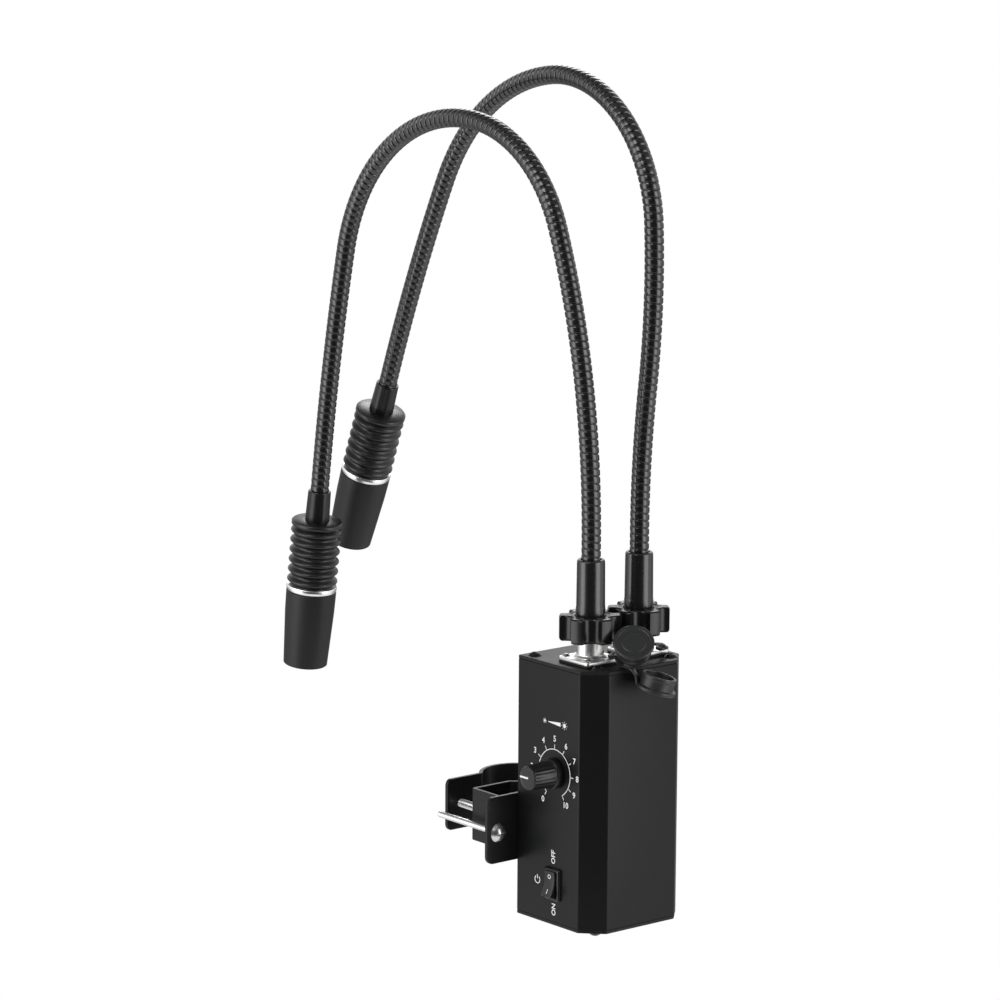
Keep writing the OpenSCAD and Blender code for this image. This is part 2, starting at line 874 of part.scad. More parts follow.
module board_standoffs() color(c_steel) {
    for (p = standoff_at)
        translate([inner_x, p[0], p[1]])
            rotate([0, 90, 0])
                difference() {
                    cylinder(h = board_x - inner_x, r = standoff_r);
                    translate([0, 0, 2])
                        cylinder(h = board_x, r = 1.3);
                }
}

module board_screws() color(c_steel) {
    for (p = standoff_at)
        translate([board_x + board_t, p[0], p[1]])
            rotate([0, 90, 0])
                button_screw(2.3, 1.5, 1.25, board_t + 4);
}

// Pole clamp

module clamp_plate() color(c_case)
    difference() {
        rounded_plate(plate_x, plate_t, plate_w, plate_z0, plate_h, 3.5);
        for (s = [-1, 1])
            translate([plate_x - 1, s * rod_y, rod_z])
                rotate([0, 90, 0])
                    cylinder(h = plate_t + 2, r = rod_r + fix_gap);
        for (p = plate_screw_at)
            translate([plate_x - 1, p[0], p[1]])
                rotate([0, 90, 0])
                    cylinder(h = plate_t + 2, r = plate_screw_r + fix_gap);
    }

module plate_screws() color(c_steel) {
    for (p = plate_screw_at)
        translate([plate_x, p[0], p[1]])
            rotate([0, -90, 0])
                button_screw(2.8, 1.7, plate_screw_r, plate_t + case_wall + 2);
}

// Channel between the bracket plate and the pole, with a hollow that takes half the pole
module clamp_channel() color(c_case)
    difference() {
        union() {
            translate([in_flat, -web_y, -jaw_h / 2])
                cube([jaw_t, 2 * web_y, jaw_h]);
            for (s = [-1, 1])
                translate([in_flat, s > 0 ? web_y - jaw_t : -web_y, -jaw_h / 2])
                    cube([plate_x - in_flat, jaw_t, jaw_h]);
            intersection() {
                cylinder(h = jaw_h, r = pole_r + jaw_t, center = true);
                translate([in_flat, -pole_d, -jaw_h])
                    cube([pole_d, 2 * pole_d, 2 * jaw_h]);
            }
        }
        cylinder(h = jaw_h + 2, r = pole_r, center = true, $fn = 60);
        for (s = [-1, 1])
            translate([in_flat - 1, s * bolt_gap / 2, 0])
                rotate([0, 90, 0])
                    cylinder(h = jaw_t + 2, r = bolt_r + fix_gap);
    }

module clamp_bolts() color(c_steel) {
    for (s = [-1, 1])
        translate([0, s * bolt_gap / 2, 0])
            rotate([0, 90, 0]) {
                translate([0, 0, -bolt_tip])
                    cylinder(h = bolt_tip + in_flat + jaw_t, r = bolt_r);
                translate([0, 0, in_flat + jaw_t])
                    cylinder(h = bolt_head_t, r = bolt_head_r, $fn = 6);
            }
}

module bracket_screws() color(c_steel) {
    for (s = [-1, 1])
        translate([pole_to_case, s * rod_y, rod_z])
            rotate([0, 90, 0])
                button_screw(rod_head_r, rod_head_h, rod_r, pole_to_case - rod_tip);
}

module bracket_nuts() color(c_steel) {
    for (s = [-1, 1])
        translate([plate_x - rod_nut_t, s * rod_y, rod_z])
            rotate([0, 90, 0])
                difference() {
                    cylinder(h = rod_nut_t, r = 3.2, $fn = 6);
                    translate([0, 0, -1])
                        cylinder(h = rod_nut_t + 2, r = rod_r + fix_gap);
                }
}

// Outer jaw that slides on the two bolts
module clamp_jaw() color(c_case)
    difference() {
        union() {
            rounded_plate(-out_flat - jaw_t, jaw_t, 2 * jaw_end, -jaw_h / 2, jaw_h, 2.5);
            intersection() {
                cylinder(h = jaw_h, r = pole_r + jaw_t, center = true);
                translate([-pole_d - out_flat, -pole_d, -jaw_h])
                    cube([pole_d, 2 * pole_d, 2 * jaw_h]);
            }
        }
        cylinder(h = jaw_h + 2, r = pole_r, center = true, $fn = 60);
        for (s = [-1, 1])
            translate([-out_flat - jaw_t - 1, s * bolt_gap / 2, 0])
                rotate([0, 90, 0])
                    cylinder(h = jaw_t + 2, r = bolt_r + run_gap);
    }

module jaw_nut_at(s) color(c_steel)
    translate([-out_flat - jaw_t - 0.1 - jaw_nut_t, s * bolt_gap / 2, 0])
        rotate([0, 90, 0])
            difference() {
                cylinder(h = jaw_nut_t, r = jaw_nut_r, $fn = 6);
                translate([0, 0, -1])
                    cylinder(h = jaw_nut_t + 2, r = bolt_r + run_gap);
            }

module jaw_nut_front() jaw_nut_at(-1);

module jaw_nut_rear() jaw_nut_at(1);

// Dust caps

// A cap with its closed disc below zero and its mouth facing +Z
module cap_cup() {
    translate([0, 0, -cap_disc_t])
        cylinder(h = cap_disc_t, r = cap_disc_r);
    difference() {
        cylinder(h = cap_deep, r = cap_r);
        cylinder(h = cap_deep + 1, r = cap_bore);
    }
}

// A flat strap through a row of points
module strap(points) {
    for (i = [0 : len(points) - 2])
        hull()
            for (p = [points[i], points[i + 1]])
                translate(p)
                    cylinder(h = strap_t, r = strap_w / 2, $fn = 12);
}

// The strap's eye under the flange screw at the far rear corner of a socket
module strap_eye() {
    difference() {
        cylinder(h = strap_t, r = 2.9);
        translate([0, 0, -1])
            cylinder(h = strap_t + 2, r = flange_screw_r + run_gap);
    }
}

// Front cap: hangs outside the far face with its mouth up
module cap_front() color(c_rubber) {
    translate([socket_x + flange_hole, -socket_gap / 2 + flange_hole, flange_z + flange_t]) {
        reach = x_far - socket_x - flange_hole;
        strap_eye();
        low = -gasket_t - flange_t + 0.4;
        strap([[3, -0.9, 0], [flange_w / 2 - flange_hole + 2.7, -1.5, 0], [8.2, -2, low],
            [reach + 4.6, -2.6, low], [reach + 5.7, -2.2, low - 3.5], [reach + 5.9, -1.9, low - 6.8]]);
        translate([reach + 11, 4.4, low - 7.6])
            rotate([-12.5, 10, 0])
                cap_cup();
    }
}

// Rear cap: stands above the far edge with its closed disc turned outwards and up
module cap_rear() color(c_rubber) {
    translate([socket_x + flange_hole, socket_gap / 2 + flange_hole, flange_z + flange_t]) {
        reach = x_far - socket_x - flange_hole;
        strap_eye();
        strap([[3, -1.2, 0], [reach - 6, -5, 2], [reach - 1, -10.5, 4.6],
            [reach + 4.4, -16.8, 7], [reach + 8.45, -22.1, 8.2], [reach + 9.05, -24, 8.6]]);
        translate([reach + 3.1, -30.5, 8.8])
            rotate([0, 0, -39.6])
                rotate([0, -137, 0])
                    cap_cup();
    }
}

// Assembly
case_tube();
top_plate();
bottom_plate();
case_screws();
socket_gaskets();
socket_front();
socket_rear();
socket_screws();
socket_inserts();
dimmer_pot();
pot_nut();
pot_shaft();
dimmer_knob();
switch_frame();
switch_rocker();
dc_inlet();
inlet_pin();
inlet_nut();
driver_board();
board_parts();
board_standoffs();
board_screws();
clamp_plate();
plate_screws();
clamp_channel();
clamp_bolts();
bracket_screws();
bracket_nuts();
clamp_jaw();
jaw_nut_front();
jaw_nut_rear();
cap_front();
cap_rear();
sleeve_front();
sleeve_rear();
nut_front();
nut_rear();
neck_front_1();
neck_front_2();
neck_front_3();
neck_front_4();
neck_front_5();
neck_rear_1();
neck_rear_2();
neck_rear_3();
neck_rear_4();
neck_rear_5();
stub_front();
stub_rear();
sink_front();
sink_rear();
ring_front();
ring_rear();
barrel_front();
barrel_rear();
lens_front();
lens_rear();
led_front();
led_rear();
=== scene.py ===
from math import acos, atan, ceil, cos, degrees, floor, pi, radians, sin, tan

import bmesh
import bpy
import numpy as np
from mathutils import Matrix


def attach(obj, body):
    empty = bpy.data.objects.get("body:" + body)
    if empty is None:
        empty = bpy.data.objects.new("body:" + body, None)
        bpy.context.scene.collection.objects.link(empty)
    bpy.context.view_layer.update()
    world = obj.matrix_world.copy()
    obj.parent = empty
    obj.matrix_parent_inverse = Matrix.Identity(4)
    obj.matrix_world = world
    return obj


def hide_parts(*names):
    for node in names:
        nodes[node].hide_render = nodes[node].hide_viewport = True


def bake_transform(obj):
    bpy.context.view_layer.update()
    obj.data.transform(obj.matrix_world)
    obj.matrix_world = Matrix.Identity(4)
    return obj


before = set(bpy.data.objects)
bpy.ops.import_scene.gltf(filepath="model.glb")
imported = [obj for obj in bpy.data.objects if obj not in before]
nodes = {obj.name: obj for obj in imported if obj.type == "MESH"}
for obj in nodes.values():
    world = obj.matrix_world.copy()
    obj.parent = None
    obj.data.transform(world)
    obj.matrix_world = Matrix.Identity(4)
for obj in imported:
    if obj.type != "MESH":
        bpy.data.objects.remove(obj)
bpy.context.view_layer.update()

# lengths below are millimetres in the part's own frame, made metres when a mesh is written
mm = 0.001
turn = 2 * pi
twins = (("front", -1), ("rear", 1))


# values of a dictionary by their names
def pick(values, names):
    return (values[name] for name in names.split())


# angles of evenly spaced steps round a circle
def circle(steps):
    return np.arange(steps) * turn / steps


# plan directions at given angles
def headings(angle):
    return np.stack([np.cos(angle), np.sin(angle)], -1)


# points at a radius and angle about the local z axis
def polar(radius, angle, height):
    return np.stack([radius * np.cos(angle), radius * np.sin(angle), height], -1)


# a plan line lifted to one height
def atHeight(plan, height):
    return np.concatenate([plan, np.full((len(plan), 1), height)], 1)


# a grid of points becomes quads between neighbours; a ring closes on itself, a sheet stays open,
# and any other grid is a tube with flat caps
def gridSurf(grid, ring=False, sheet=False):
    rows, cols = grid.shape[:2]
    index = np.arange(rows * cols).reshape(rows, cols)
    here, below = (index, np.roll(index, -1, 0)) if ring else (index[:-1], index[1:])
    quads = np.stack([here, np.roll(here, -1, 1), np.roll(below, -1, 1), below], -1)
    if sheet:
        quads = quads[:, :-1]
    caps = [] if ring or sheet else [index[0][::-1], index[-1]]
    return grid.reshape(-1, 3), quads.reshape(-1, 4), caps


# vectors made one long
def unit(vectors):
    return vectors / np.linalg.norm(vectors, axis=-1, keepdims=True)


# moves local points by a 4 by 4 matrix
def placed(points, place):
    return points @ place[:3, :3].T + place[:3, 3]


# matrix whose columns are three axes and whose last column is a point
def placeAt(point, xAxis=(1, 0, 0), zAxis=(0, 0, 1)):
    zUnit = unit(zAxis)
    xUnit = unit(xAxis - zUnit * np.dot(xAxis, zUnit))
    place = np.eye(4)
    place[:3, 0], place[:3, 1], place[:3, 2] = xUnit, np.cross(zUnit, xUnit), zUnit
    place[:3, 3] = point
    return place


# a turn about the local x axis, then a shift
def tilted(angle, shift):
    place = np.eye(4)
    place[1:3, 1:3] = [[cos(angle), -sin(angle)], [sin(angle), cos(angle)]]
    place[:3, 3] = shift
    return place


# rounds the corners of a line of points: each corner becomes an arc that touches both its sides
def rounded(points, radius, steps, closed=False):
    pts = np.array(points, float)
    radii = np.broadcast_to(np.asarray(radius, float), (len(pts),))
    out = []
    for i, corner in enumerate(pts):
        if not closed and i in (0, len(pts) - 1):
            out.append(corner[None])
            continue
        before, after = pts[i - 1] - corner, pts[(i + 1) % len(pts)] - corner
        lenBefore, lenAfter = np.linalg.norm(before), np.linalg.norm(after)
        before, after = before / lenBefore, after / lenAfter
        half = acos(max(-1, min(1, float(before @ after)))) / 2
        if radii[i] < 1e-6 or half > 1.55 or half < 0.02:
            out.append(corner[None])
            continue
        reach = min(radii[i] / tan(half), 0.47 * lenBefore, 0.47 * lenAfter)
        size = reach * tan(half)
        middle = corner + unit(before + after) * size / sin(half)
        first, last = corner + before * reach - middle, corner + after * reach - middle
        share = np.linspace(0, 1, steps + 1)[:, None]
        swing = pi - 2 * half
        arc = (np.sin((1 - share) * swing) * first + np.sin(share * swing) * last) / sin(swing)
        out.append(middle + arc)
    return np.concatenate(out)


# a rounded line from rows of radius, height and corner rounding
def shaped(rows, steps, closed=False):
    rows = np.array(rows, float)
    return rounded(rows[:, :2], rows[:, 2], steps, closed)


# a profile of radius and height turned about the local z axis
def lathe(profile, place, steps=72, ring=False, swell=None):
    profile = np.array(profile, float)
    angle = circle(steps)
    radius, height = (np.repeat(profile[:, k:k + 1], steps, 1) for k in (0, 1))
    if swell is not None:
        radius = swell(radius, angle[None], profile[:, 1:2])
    return gridSurf(placed(polar(radius, angle, height), place), ring)


# outward normals of a closed plan line, from its neighbours on each side
def planNormals(plan):
    after = np.roll(plan, -1, 0)
    along = unit(after - np.roll(plan, 1, 0))
    normal = np.stack([along[:, 1], -along[:, 0]], 1)
    area = np.sum(plan[:, 0] * after[:, 1] - plan[:, 1] * after[:, 0])
    return normal if area > 0 else -normal


# inset and height of the rows that roll two rims over by quarter circles
def rolledRims(low, high, edge, steps):
    share = np.linspace(0, pi / 2, steps + 1)
    fromSin, fromCos = edge * (1 - np.sin(share)), edge * (1 - np.cos(share))
    return np.concatenate([fromSin, fromCos]), np.concatenate([low + fromCos, high - fromSin])


# a closed plan raised between two heights, its rims rolled over
def slab(plan, low, high, edge, place):
    inset, height = rolledRims(low, high, edge, 4)
    flat = plan[None] - planNormals(plan)[None] * inset[:, None, None]
    lift = np.broadcast_to(height[:, None, None], flat.shape[:2] + (1,))
    return gridSurf(placed(np.concatenate([flat, lift], -1), place))


# a rectangle with rounded corners as a closed plan line
def roundRect(width, height, radius, steps=6):
    w, h = width / 2, height / 2
    return rounded([[-w, -h], [w, -h], [w, h], [-w, h]], radius, steps, closed=True)


# a section carried along a path: each section point is moved by the path's two side directions
def sweep(path, sideA, sideB, section, stretchB=1.0):
    sideA, sideB = (np.broadcast_to(side, path.shape)[:, None] for side in (sideA, sideB))
    stretch = np.broadcast_to(stretchB, len(path))[:, None, None]
    return gridSurf(path[:, None] + sideA * section[None, :, :1] + sideB * (section[None, :, 1:] * stretch))


# distance along a line at each of its points
def stations(line):
    return np.concatenate([[0], np.cumsum(np.linalg.norm(np.diff(line, axis=0), axis=1))])


# evenly spaced points on a line through corners, then a running average that softens the bends
def softPath(points, step, window):
    pts = np.array(points, float)
    station = stations(pts)
    s = np.linspace(0, station[-1], max(8, int(station[-1] / step)))
    line = np.stack([np.interp(s, station, column) for column in pts.T], 1)
    half = max(1, int(window / step / 2))
    lead, tail = 2 * line[:1] - line[half:0:-1], 2 * line[-1:] - line[-2:-half - 2:-1]
    padded = np.concatenate([lead, line, tail])
    kernel = np.hanning(2 * half + 3)[1:-1]
    kernel /= kernel.sum()
    return np.stack([np.convolve(column, kernel, "valid") for column in padded.T], 1)


def tangents(path):
    return unit(np.gradient(path, axis=0))


def addObject(name, data):
    made = bpy.data.objects.new(name, data)
    bpy.context.scene.collection.objects.link(made)
    return made


# writes surfaces into one object at the origin and turns every face outwards; a piece takes the place
# of the solid that is named, and rides the housing where no other body is named
def makePiece(name, surfs, finish, node=None, body="housing", sharp=40, weld=False):
    points, quads, caps, base = [], [], [], 0
    for verts, faces, ends in surfs:
        points.append(verts)
        quads += (faces + base).tolist()
        caps += [(cap + base).tolist() for cap in ends]
        base += len(verts)
    mesh = bpy.data.meshes.new(name)
    mesh.from_pydata((np.concatenate(points) * mm).tolist(), [], quads + caps)
    mesh.validate()
    work = bmesh.new()
    work.from_mesh(mesh)
    if weld:
        bmesh.ops.remove_doubles(work, verts=work.verts, dist=2e-6)
        bmesh.ops.dissolve_degenerate(work, edges=work.edges, dist=1e-6)
        bmesh.ops.holes_fill(work, edges=[edge for edge in work.edges if edge.is_boundary], sides=0)
    bmesh.ops.recalc_face_normals(work, faces=work.faces)
    work.to_mesh(mesh)
    work.free()
    mesh.shade_smooth()
    mesh.set_sharp_from_angle(angle=radians(sharp))
    mesh.materials.append(paint[finish])
    piece = addObject(name, mesh)
    if body:
        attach(piece, body)
    if node:
        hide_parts(node)
    return piece


# sets a node's sockets: each takes a plain value, or a link when given another node's output
def setSockets(tree, node, sockets):
    for key, value in sockets.items():
        if isinstance(value, bpy.types.NodeSocket):
            tree.links.new(value, node.inputs[key])
        else:
            node.inputs[key].default_value = value
    return node


def addNode(tree, kind, sockets=None, operation=None):
    node = tree.nodes.new("ShaderNode" + kind)
    if operation:
        node.operation = operation
    return setSockets(tree, node, sockets or {})


def addMath(tree, operation, *values):
    return addNode(tree, "Math", dict(enumerate(values)), operation).outputs[0]


# a smooth ramp from one range of values to another
def addRamp(tree, source, fromMin, fromMax, toMin=0.0, toMax=1.0):
    node = addNode(tree, "MapRange", {"Value": source, "From Min": fromMin, "From Max": fromMax,
        "To Min": toMin, "To Max": toMax})
    node.interpolation_type = "SMOOTHSTEP"
    return node.outputs["Result"]


def newMaterial(name):
    material = bpy.data.materials.new(name)
    material.use_nodes = True
    return material, material.node_tree, material.node_tree.nodes["Principled BSDF"]


# shader group: fine grain and broad smudges that shift colour, roughness and height
def makeGrainGroup():
    group = bpy.data.node_groups.new("finishGrain", "ShaderNodeTree")
    sockets = {"INPUT": {"Vector": "Vector", "Base": "Color", "Grain Scale": "Float", "Smudge Scale": "Float",
        "Colour Spread": "Float", "Roughness": "Float", "Roughness Spread": "Float"},
        "OUTPUT": {"Color": "Color", "Roughness": "Float", "Height": "Float"}}
    for way, kinds in sockets.items():
        for name, kind in kinds.items():
            group.interface.new_socket(name=name, in_out=way, socket_type="NodeSocket" + kind)
    start, end = group.nodes.new("NodeGroupInput").outputs, group.nodes.new("NodeGroupOutput")
    fine, broad = (addNode(group, "TexNoise",
        {"Vector": start["Vector"], "Scale": start[scale], "Detail": detail}).outputs["Fac"]
        for scale, detail in (("Grain Scale", 3.0), ("Smudge Scale", 4.0)))
    centred = addMath(group, "SUBTRACT", addMath(group, "ADD", fine, broad), 1.0)
    gain = addMath(group, "MULTIPLY_ADD", centred, start["Colour Spread"], 1.0)
    tint = addNode(group, "VectorMath", {0: start["Base"], "Scale": gain}, "SCALE").outputs["Vector"]
    offset = addMath(group, "SUBTRACT", broad, 0.5)
    rough = addMath(group, "MULTIPLY_ADD", offset, start["Roughness Spread"], start["Roughness"])
    rough.node.use_clamp = True
    setSockets(group, end, {"Color": tint, "Roughness": rough, "Height": fine})
    return group


grainGroup = makeGrainGroup()

# one row for each finish: slot, colour, roughness, grain scale and height, colour spread, reflectivity, metal
finishes = {
    "casePaint": ("case_black", (0.0055, 0.0057, 0.0058), 0.34, 1500, 0.035, 0.16, 0.18),
    "coverPaint": ("case_black", (0.0065, 0.0068, 0.007), 0.48, 1500, 0.03, 0.16, 0.225),
    "clampPaint": ("clamp_black", (0.008, 0.0082, 0.0085), 0.34, 1100, 0.03, 0.16, 0.25),
    "neckGloss": ("neck_black", (0.0045, 0.0045, 0.0047), 0.22, 700, 0.01, 0.1, 0.8),
    "sleeveGloss": ("sleeve_black", (0.006, 0.006, 0.0062), 0.24, 500, 0.008, 0.08, 0.75),
    "nutPlastic": ("nut_black", (0.006, 0.006, 0.0062), 0.24, 1200, 0.02, 0.1, 0.38),
    "knobPlastic": ("control_black", (0.007, 0.007, 0.0072), 0.3, 1300, 0.02, 0.1, 0.42),
    "switchPlastic": ("control_black", (0.007, 0.007, 0.0072), 0.3, 900, 0.01, 0.08, 0.4),
    "lampAnodised": ("lamp_black", (0.011, 0.011, 0.0112), 0.46, 2600, 0.03, 0.12, 0.3),
    "finAnodised": ("lamp_black", (0.0042, 0.0043, 0.0044), 0.35, 2000, 0.015, 0.1, 0.55),
    "stubRubber": ("lamp_black", (0.006, 0.006, 0.0062), 0.28, 1400, 0.02, 0.1, 0.36),
    "ringChrome": ("bright_ring", (0.84, 0.85, 0.86), 0.28, 300, 0.0, 0.04, 0.5, 1.0),
    "socketNickel": ("socket_silver", (0.72, 0.72, 0.71), 0.36, 1100, 0.02, 0.1, 0.5, 1.0),
    "zincSteel": ("bright_steel", (0.66, 0.66, 0.66), 0.28, 900, 0.01, 0.1, 0.5, 1.0),
    "blackOxide": ("black_steel", (0.006, 0.006, 0.0062), 0.28, 900, 0.01, 0.1, 0.36),
    "capRubber": ("cap_rubber", (0.0165, 0.017, 0.017), 0.4, 1600, 0.03, 0.16, 0.42),
    "gasketRubber": ("cap_rubber", (0.007, 0.007, 0.0072), 0.6, 1300, 0.02, 0.1, 0.25),
    "whiteInk": ("control_black", (0.8, 0.8, 0.79), 0.55, 2500, 0.01, 0.06, 0.3),
    "boardGreen": (None, (0.03, 0.16, 0.07), 0.4, 600, 0.01, 0.1, 0.4),
    "ledYellow": (None, (0.75, 0.6, 0.22), 0.35, 600, 0.01, 0.1, 0.4),
}
grain = dict(smudge=26.0, roughSpread=0.1, strength=4, distance=0.0003)


def makeFinish(name, base, rough, scale, bump, spread, specular, metal=0.0):
    material, tree, shader = newMaterial(name)
    group = tree.nodes.new("ShaderNodeGroup")
    group.node_tree = grainGroup
    look = setSockets(tree, group, {
        "Vector": addNode(tree, "TexCoord").outputs["Object"], "Base": (*base, 1), "Grain Scale": scale,
        "Smudge Scale": grain["smudge"], "Colour Spread": spread, "Roughness": rough,
        "Roughness Spread": grain["roughSpread"]}).outputs
    setSockets(tree, shader, {"Metallic": metal, "Specular IOR Level": specular,
        "Base Color": look["Color"], "Roughness": look["Roughness"]})
    if bump > 0:
        relief = addNode(tree, "Bump", {"Strength": bump * grain["strength"], "Distance": grain["distance"],
            "Height": look["Height"]})
        setSockets(tree, shader, {"Normal": relief.outputs["Normal"]})
    return material


glass = {"Base Color": (0.92, 0.95, 0.97, 1), "Roughness": 0.04, "IOR": 1.46, "Transmission Weight": 1.0}


def makeGlass():
    material, tree, shader = newMaterial("lensGlass")
    setSockets(tree, shader, glass)
    return material


paint = {name: makeFinish(name, *row[1:]) for name, row in finishes.items()}
paint["lensGlass"] = makeGlass()
slots = {name: row[0] for name, row in finishes.items()}
slots["lensGlass"] = "lens_clear"

# camera: the photograph's viewing angle
view = dict(azimuth=50.45, elevation=10.88, roll=0.36, target=(-13.88, 0.0, 137.69), distance=2062.7,
    lens=162.0, sensor=36.0, clipEnd=50.0)
azimuth, elevation, roll = (radians(angle) for angle in pick(view, "azimuth elevation roll"))


def setCamera():
    level = cos(elevation)
    back = np.array([sin(azimuth) * level, -cos(azimuth) * level, sin(elevation)])
    right = np.array([cos(azimuth), sin(azimuth), 0.0])
    rolled = right * cos(roll) + np.cross(back, right) * sin(roll)
    data = bpy.data.cameras.new("photoCamera")
    data.sensor_width, data.lens, data.clip_end = pick(view, "sensor lens clipEnd")
    camera = addObject("photoCamera", data)
    eye = (np.array(view["target"]) + back * view["distance"]) * mm
    camera.matrix_world = Matrix(placeAt(eye, rolled, back).tolist())
    bpy.context.scene.camera = camera


setCamera()

# case: planes of the box, its slanted corners and its covers
case = dict(near=35.0, far=87.0, face=29.3, base=-42.0, top=78.0, cut=9.3, cover=1.6,
    cornerNear=0.9, cornerFar=1.6, edge=0.3, rim=0.45)


def buildCase():
    n, f, y, c = pick(case, "near far face cut")
    corners = [[n, -y], [f - c, -y], [f, -y + c], [f, y - c], [f - c, y], [n, y]]
    radii = [case["cornerNear"]] + [case["cornerFar"]] * 4 + [case["cornerNear"]]
    plan = rounded(corners, radii, 6, closed=True)
    base, top, cover, rim = pick(case, "base top cover rim")
    low, high = base + cover, top - cover
    layers = (("caseBody", low, high, case["edge"], "casePaint", "case_tube"),
        ("caseTop", high, top, rim, "coverPaint", "top_plate"),
        ("caseBottom", base, low, rim, "coverPaint", "bottom_plate"))
    for name, start, end, edge, finish, node in layers:
        makePiece(name, [slab(plan, start, end, edge, np.eye(4))], finish, node)


# a six-sided outline: the flats' distance divided by the cosine of the angle from the nearest flat
def hexRadius(flats, angle):
    return flats / np.cos((angle + pi / 6) % (pi / 3) - pi / 6)


# screw heads: a dome whose middle has a six-sided or crossed recess, all as shares of the head's size
screw = dict(hexSize=0.36, crossCore=0.13, crossArm=0.40, lip=0.12, floor=0.42, wall=0.96, middle=0.8)


def screwHead(place, radius, height, recess="hex", steps=60):
    angle = circle(steps)
    dome = (radius ** 2 + height ** 2) / (2 * height)
    if recess == "hex":
        inner = hexRadius(screw["hexSize"] * radius, angle)
    else:
        inner = radius * (screw["crossCore"] + screw["crossArm"] * np.abs(np.cos(2 * angle)) ** 3)
    outer = inner + (radius - inner) * np.linspace(1, 0, 10)[:, None]
    domeZ = np.sqrt(np.maximum(dome ** 2 - outer ** 2, 0)) + height - dome
    floorR = np.stack([inner * screw["wall"], inner * screw["middle"]])
    radii = np.concatenate([np.full((1, steps), radius), outer, floorR])
    heights = np.concatenate([np.zeros((1, steps)), np.maximum(domeZ, screw["lip"] * height),
        np.full((2, steps), height * screw["floor"])])
    return gridSurf(placed(polar(radii, angle, heights), place))


# a six-sided nut or bolt head with its corners cut by a cone, with an optional bore
hexForm = dict(cone=0.97, fall=0.55, ease=0.25)


def hexBlock(place, radius, thick, bore=0.0, steps=72):
    angle, one = circle(steps), np.ones(steps)
    flats, ease = radius * cos(pi / 6), hexForm["ease"]
    hexR = hexRadius(flats, angle)
    lip = np.minimum(hexR, flats * hexForm["cone"])
    fall = (hexR - lip) * hexForm["fall"]
    rows = [(lip, 0 * one), (hexR, fall), (hexR, thick - fall), (lip, thick * one)]
    if bore:
        inside = (bore + ease, thick), (bore, thick - ease), (bore, ease), (bore + ease, 0)
        rows += [(r * one, z * one) for r, z in inside]
    radii, heights = (np.array(column) for column in zip(*rows))
    return gridSurf(placed(polar(radii, angle, heights), place), ring=bool(bore))


# a threaded rod: the radius dips along a helix of the given pitch, and both tips are chamfered
rodForm = dict(steps=28, perPitch=7, tipLen=0.4, tipDrop=0.3)


def threadRod(place, length, radius, pitch, depth):
    angle = circle(rodForm["steps"])
    z = np.linspace(0, length, int(length / pitch * rodForm["perPitch"]))[:, None]
    phase = (z / pitch - angle[None] / turn) % 1.0
    fromTip = np.minimum(z, length - z)
    dip = depth * (1 - np.abs(2 * phase - 1)) * np.clip(fromTip / pitch, 0, 1)
    radii = radius - dip - np.clip(1 - fromTip / rodForm["tipLen"], 0, 1) * rodForm["tipDrop"]
    return gridSurf(placed(polar(radii, angle, np.repeat(z, len(angle), 1)), place))


caseScrews = dict(places=((41.0, 24.5), (80.8, 21.5)), headR=3.1, headH=1.7)


def buildCaseScrews():
    heads = []
    for x, y in caseScrews["places"]:
        for side in (-1, 1):
            twist = (cos(x + side), sin(x + side), 0)
            for z, up in ((case["top"], 1), (case["base"], -1)):
                place = placeAt((x, side * y, z), twist, (0, 0, up))
                heads.append(screwHead(place, caseScrews["headR"], caseScrews["headH"]))
    makePiece("coverScrews", heads, "blackOxide", "case_screws", sharp=50)


buildCase()
buildCaseScrews()

# sockets on the top cover: gasket, flange, ridged barrel and screws
socket = dict(x=67.0, y=14.2, flange=20.6, corner=1.6, gasketT=1.0, gasketEdge=0.25, flangeT=1.8,
    flangeEdge=0.4, barrelR=6.2, bore=4.6, rim=96.4, ridgeLow=1.2, ridgeHigh=96.0, ridgePitch=1.0,
    ridgeDeep=0.1, hole=7.6, headR=1.95, headH=1.15, eyeLift=1.1)
gasketTop = case["top"] + socket["gasketT"]
flangeTop = gasketTop + socket["flangeT"]


def seat(side):
    return placeAt((socket["x"], side * socket["y"], 0))


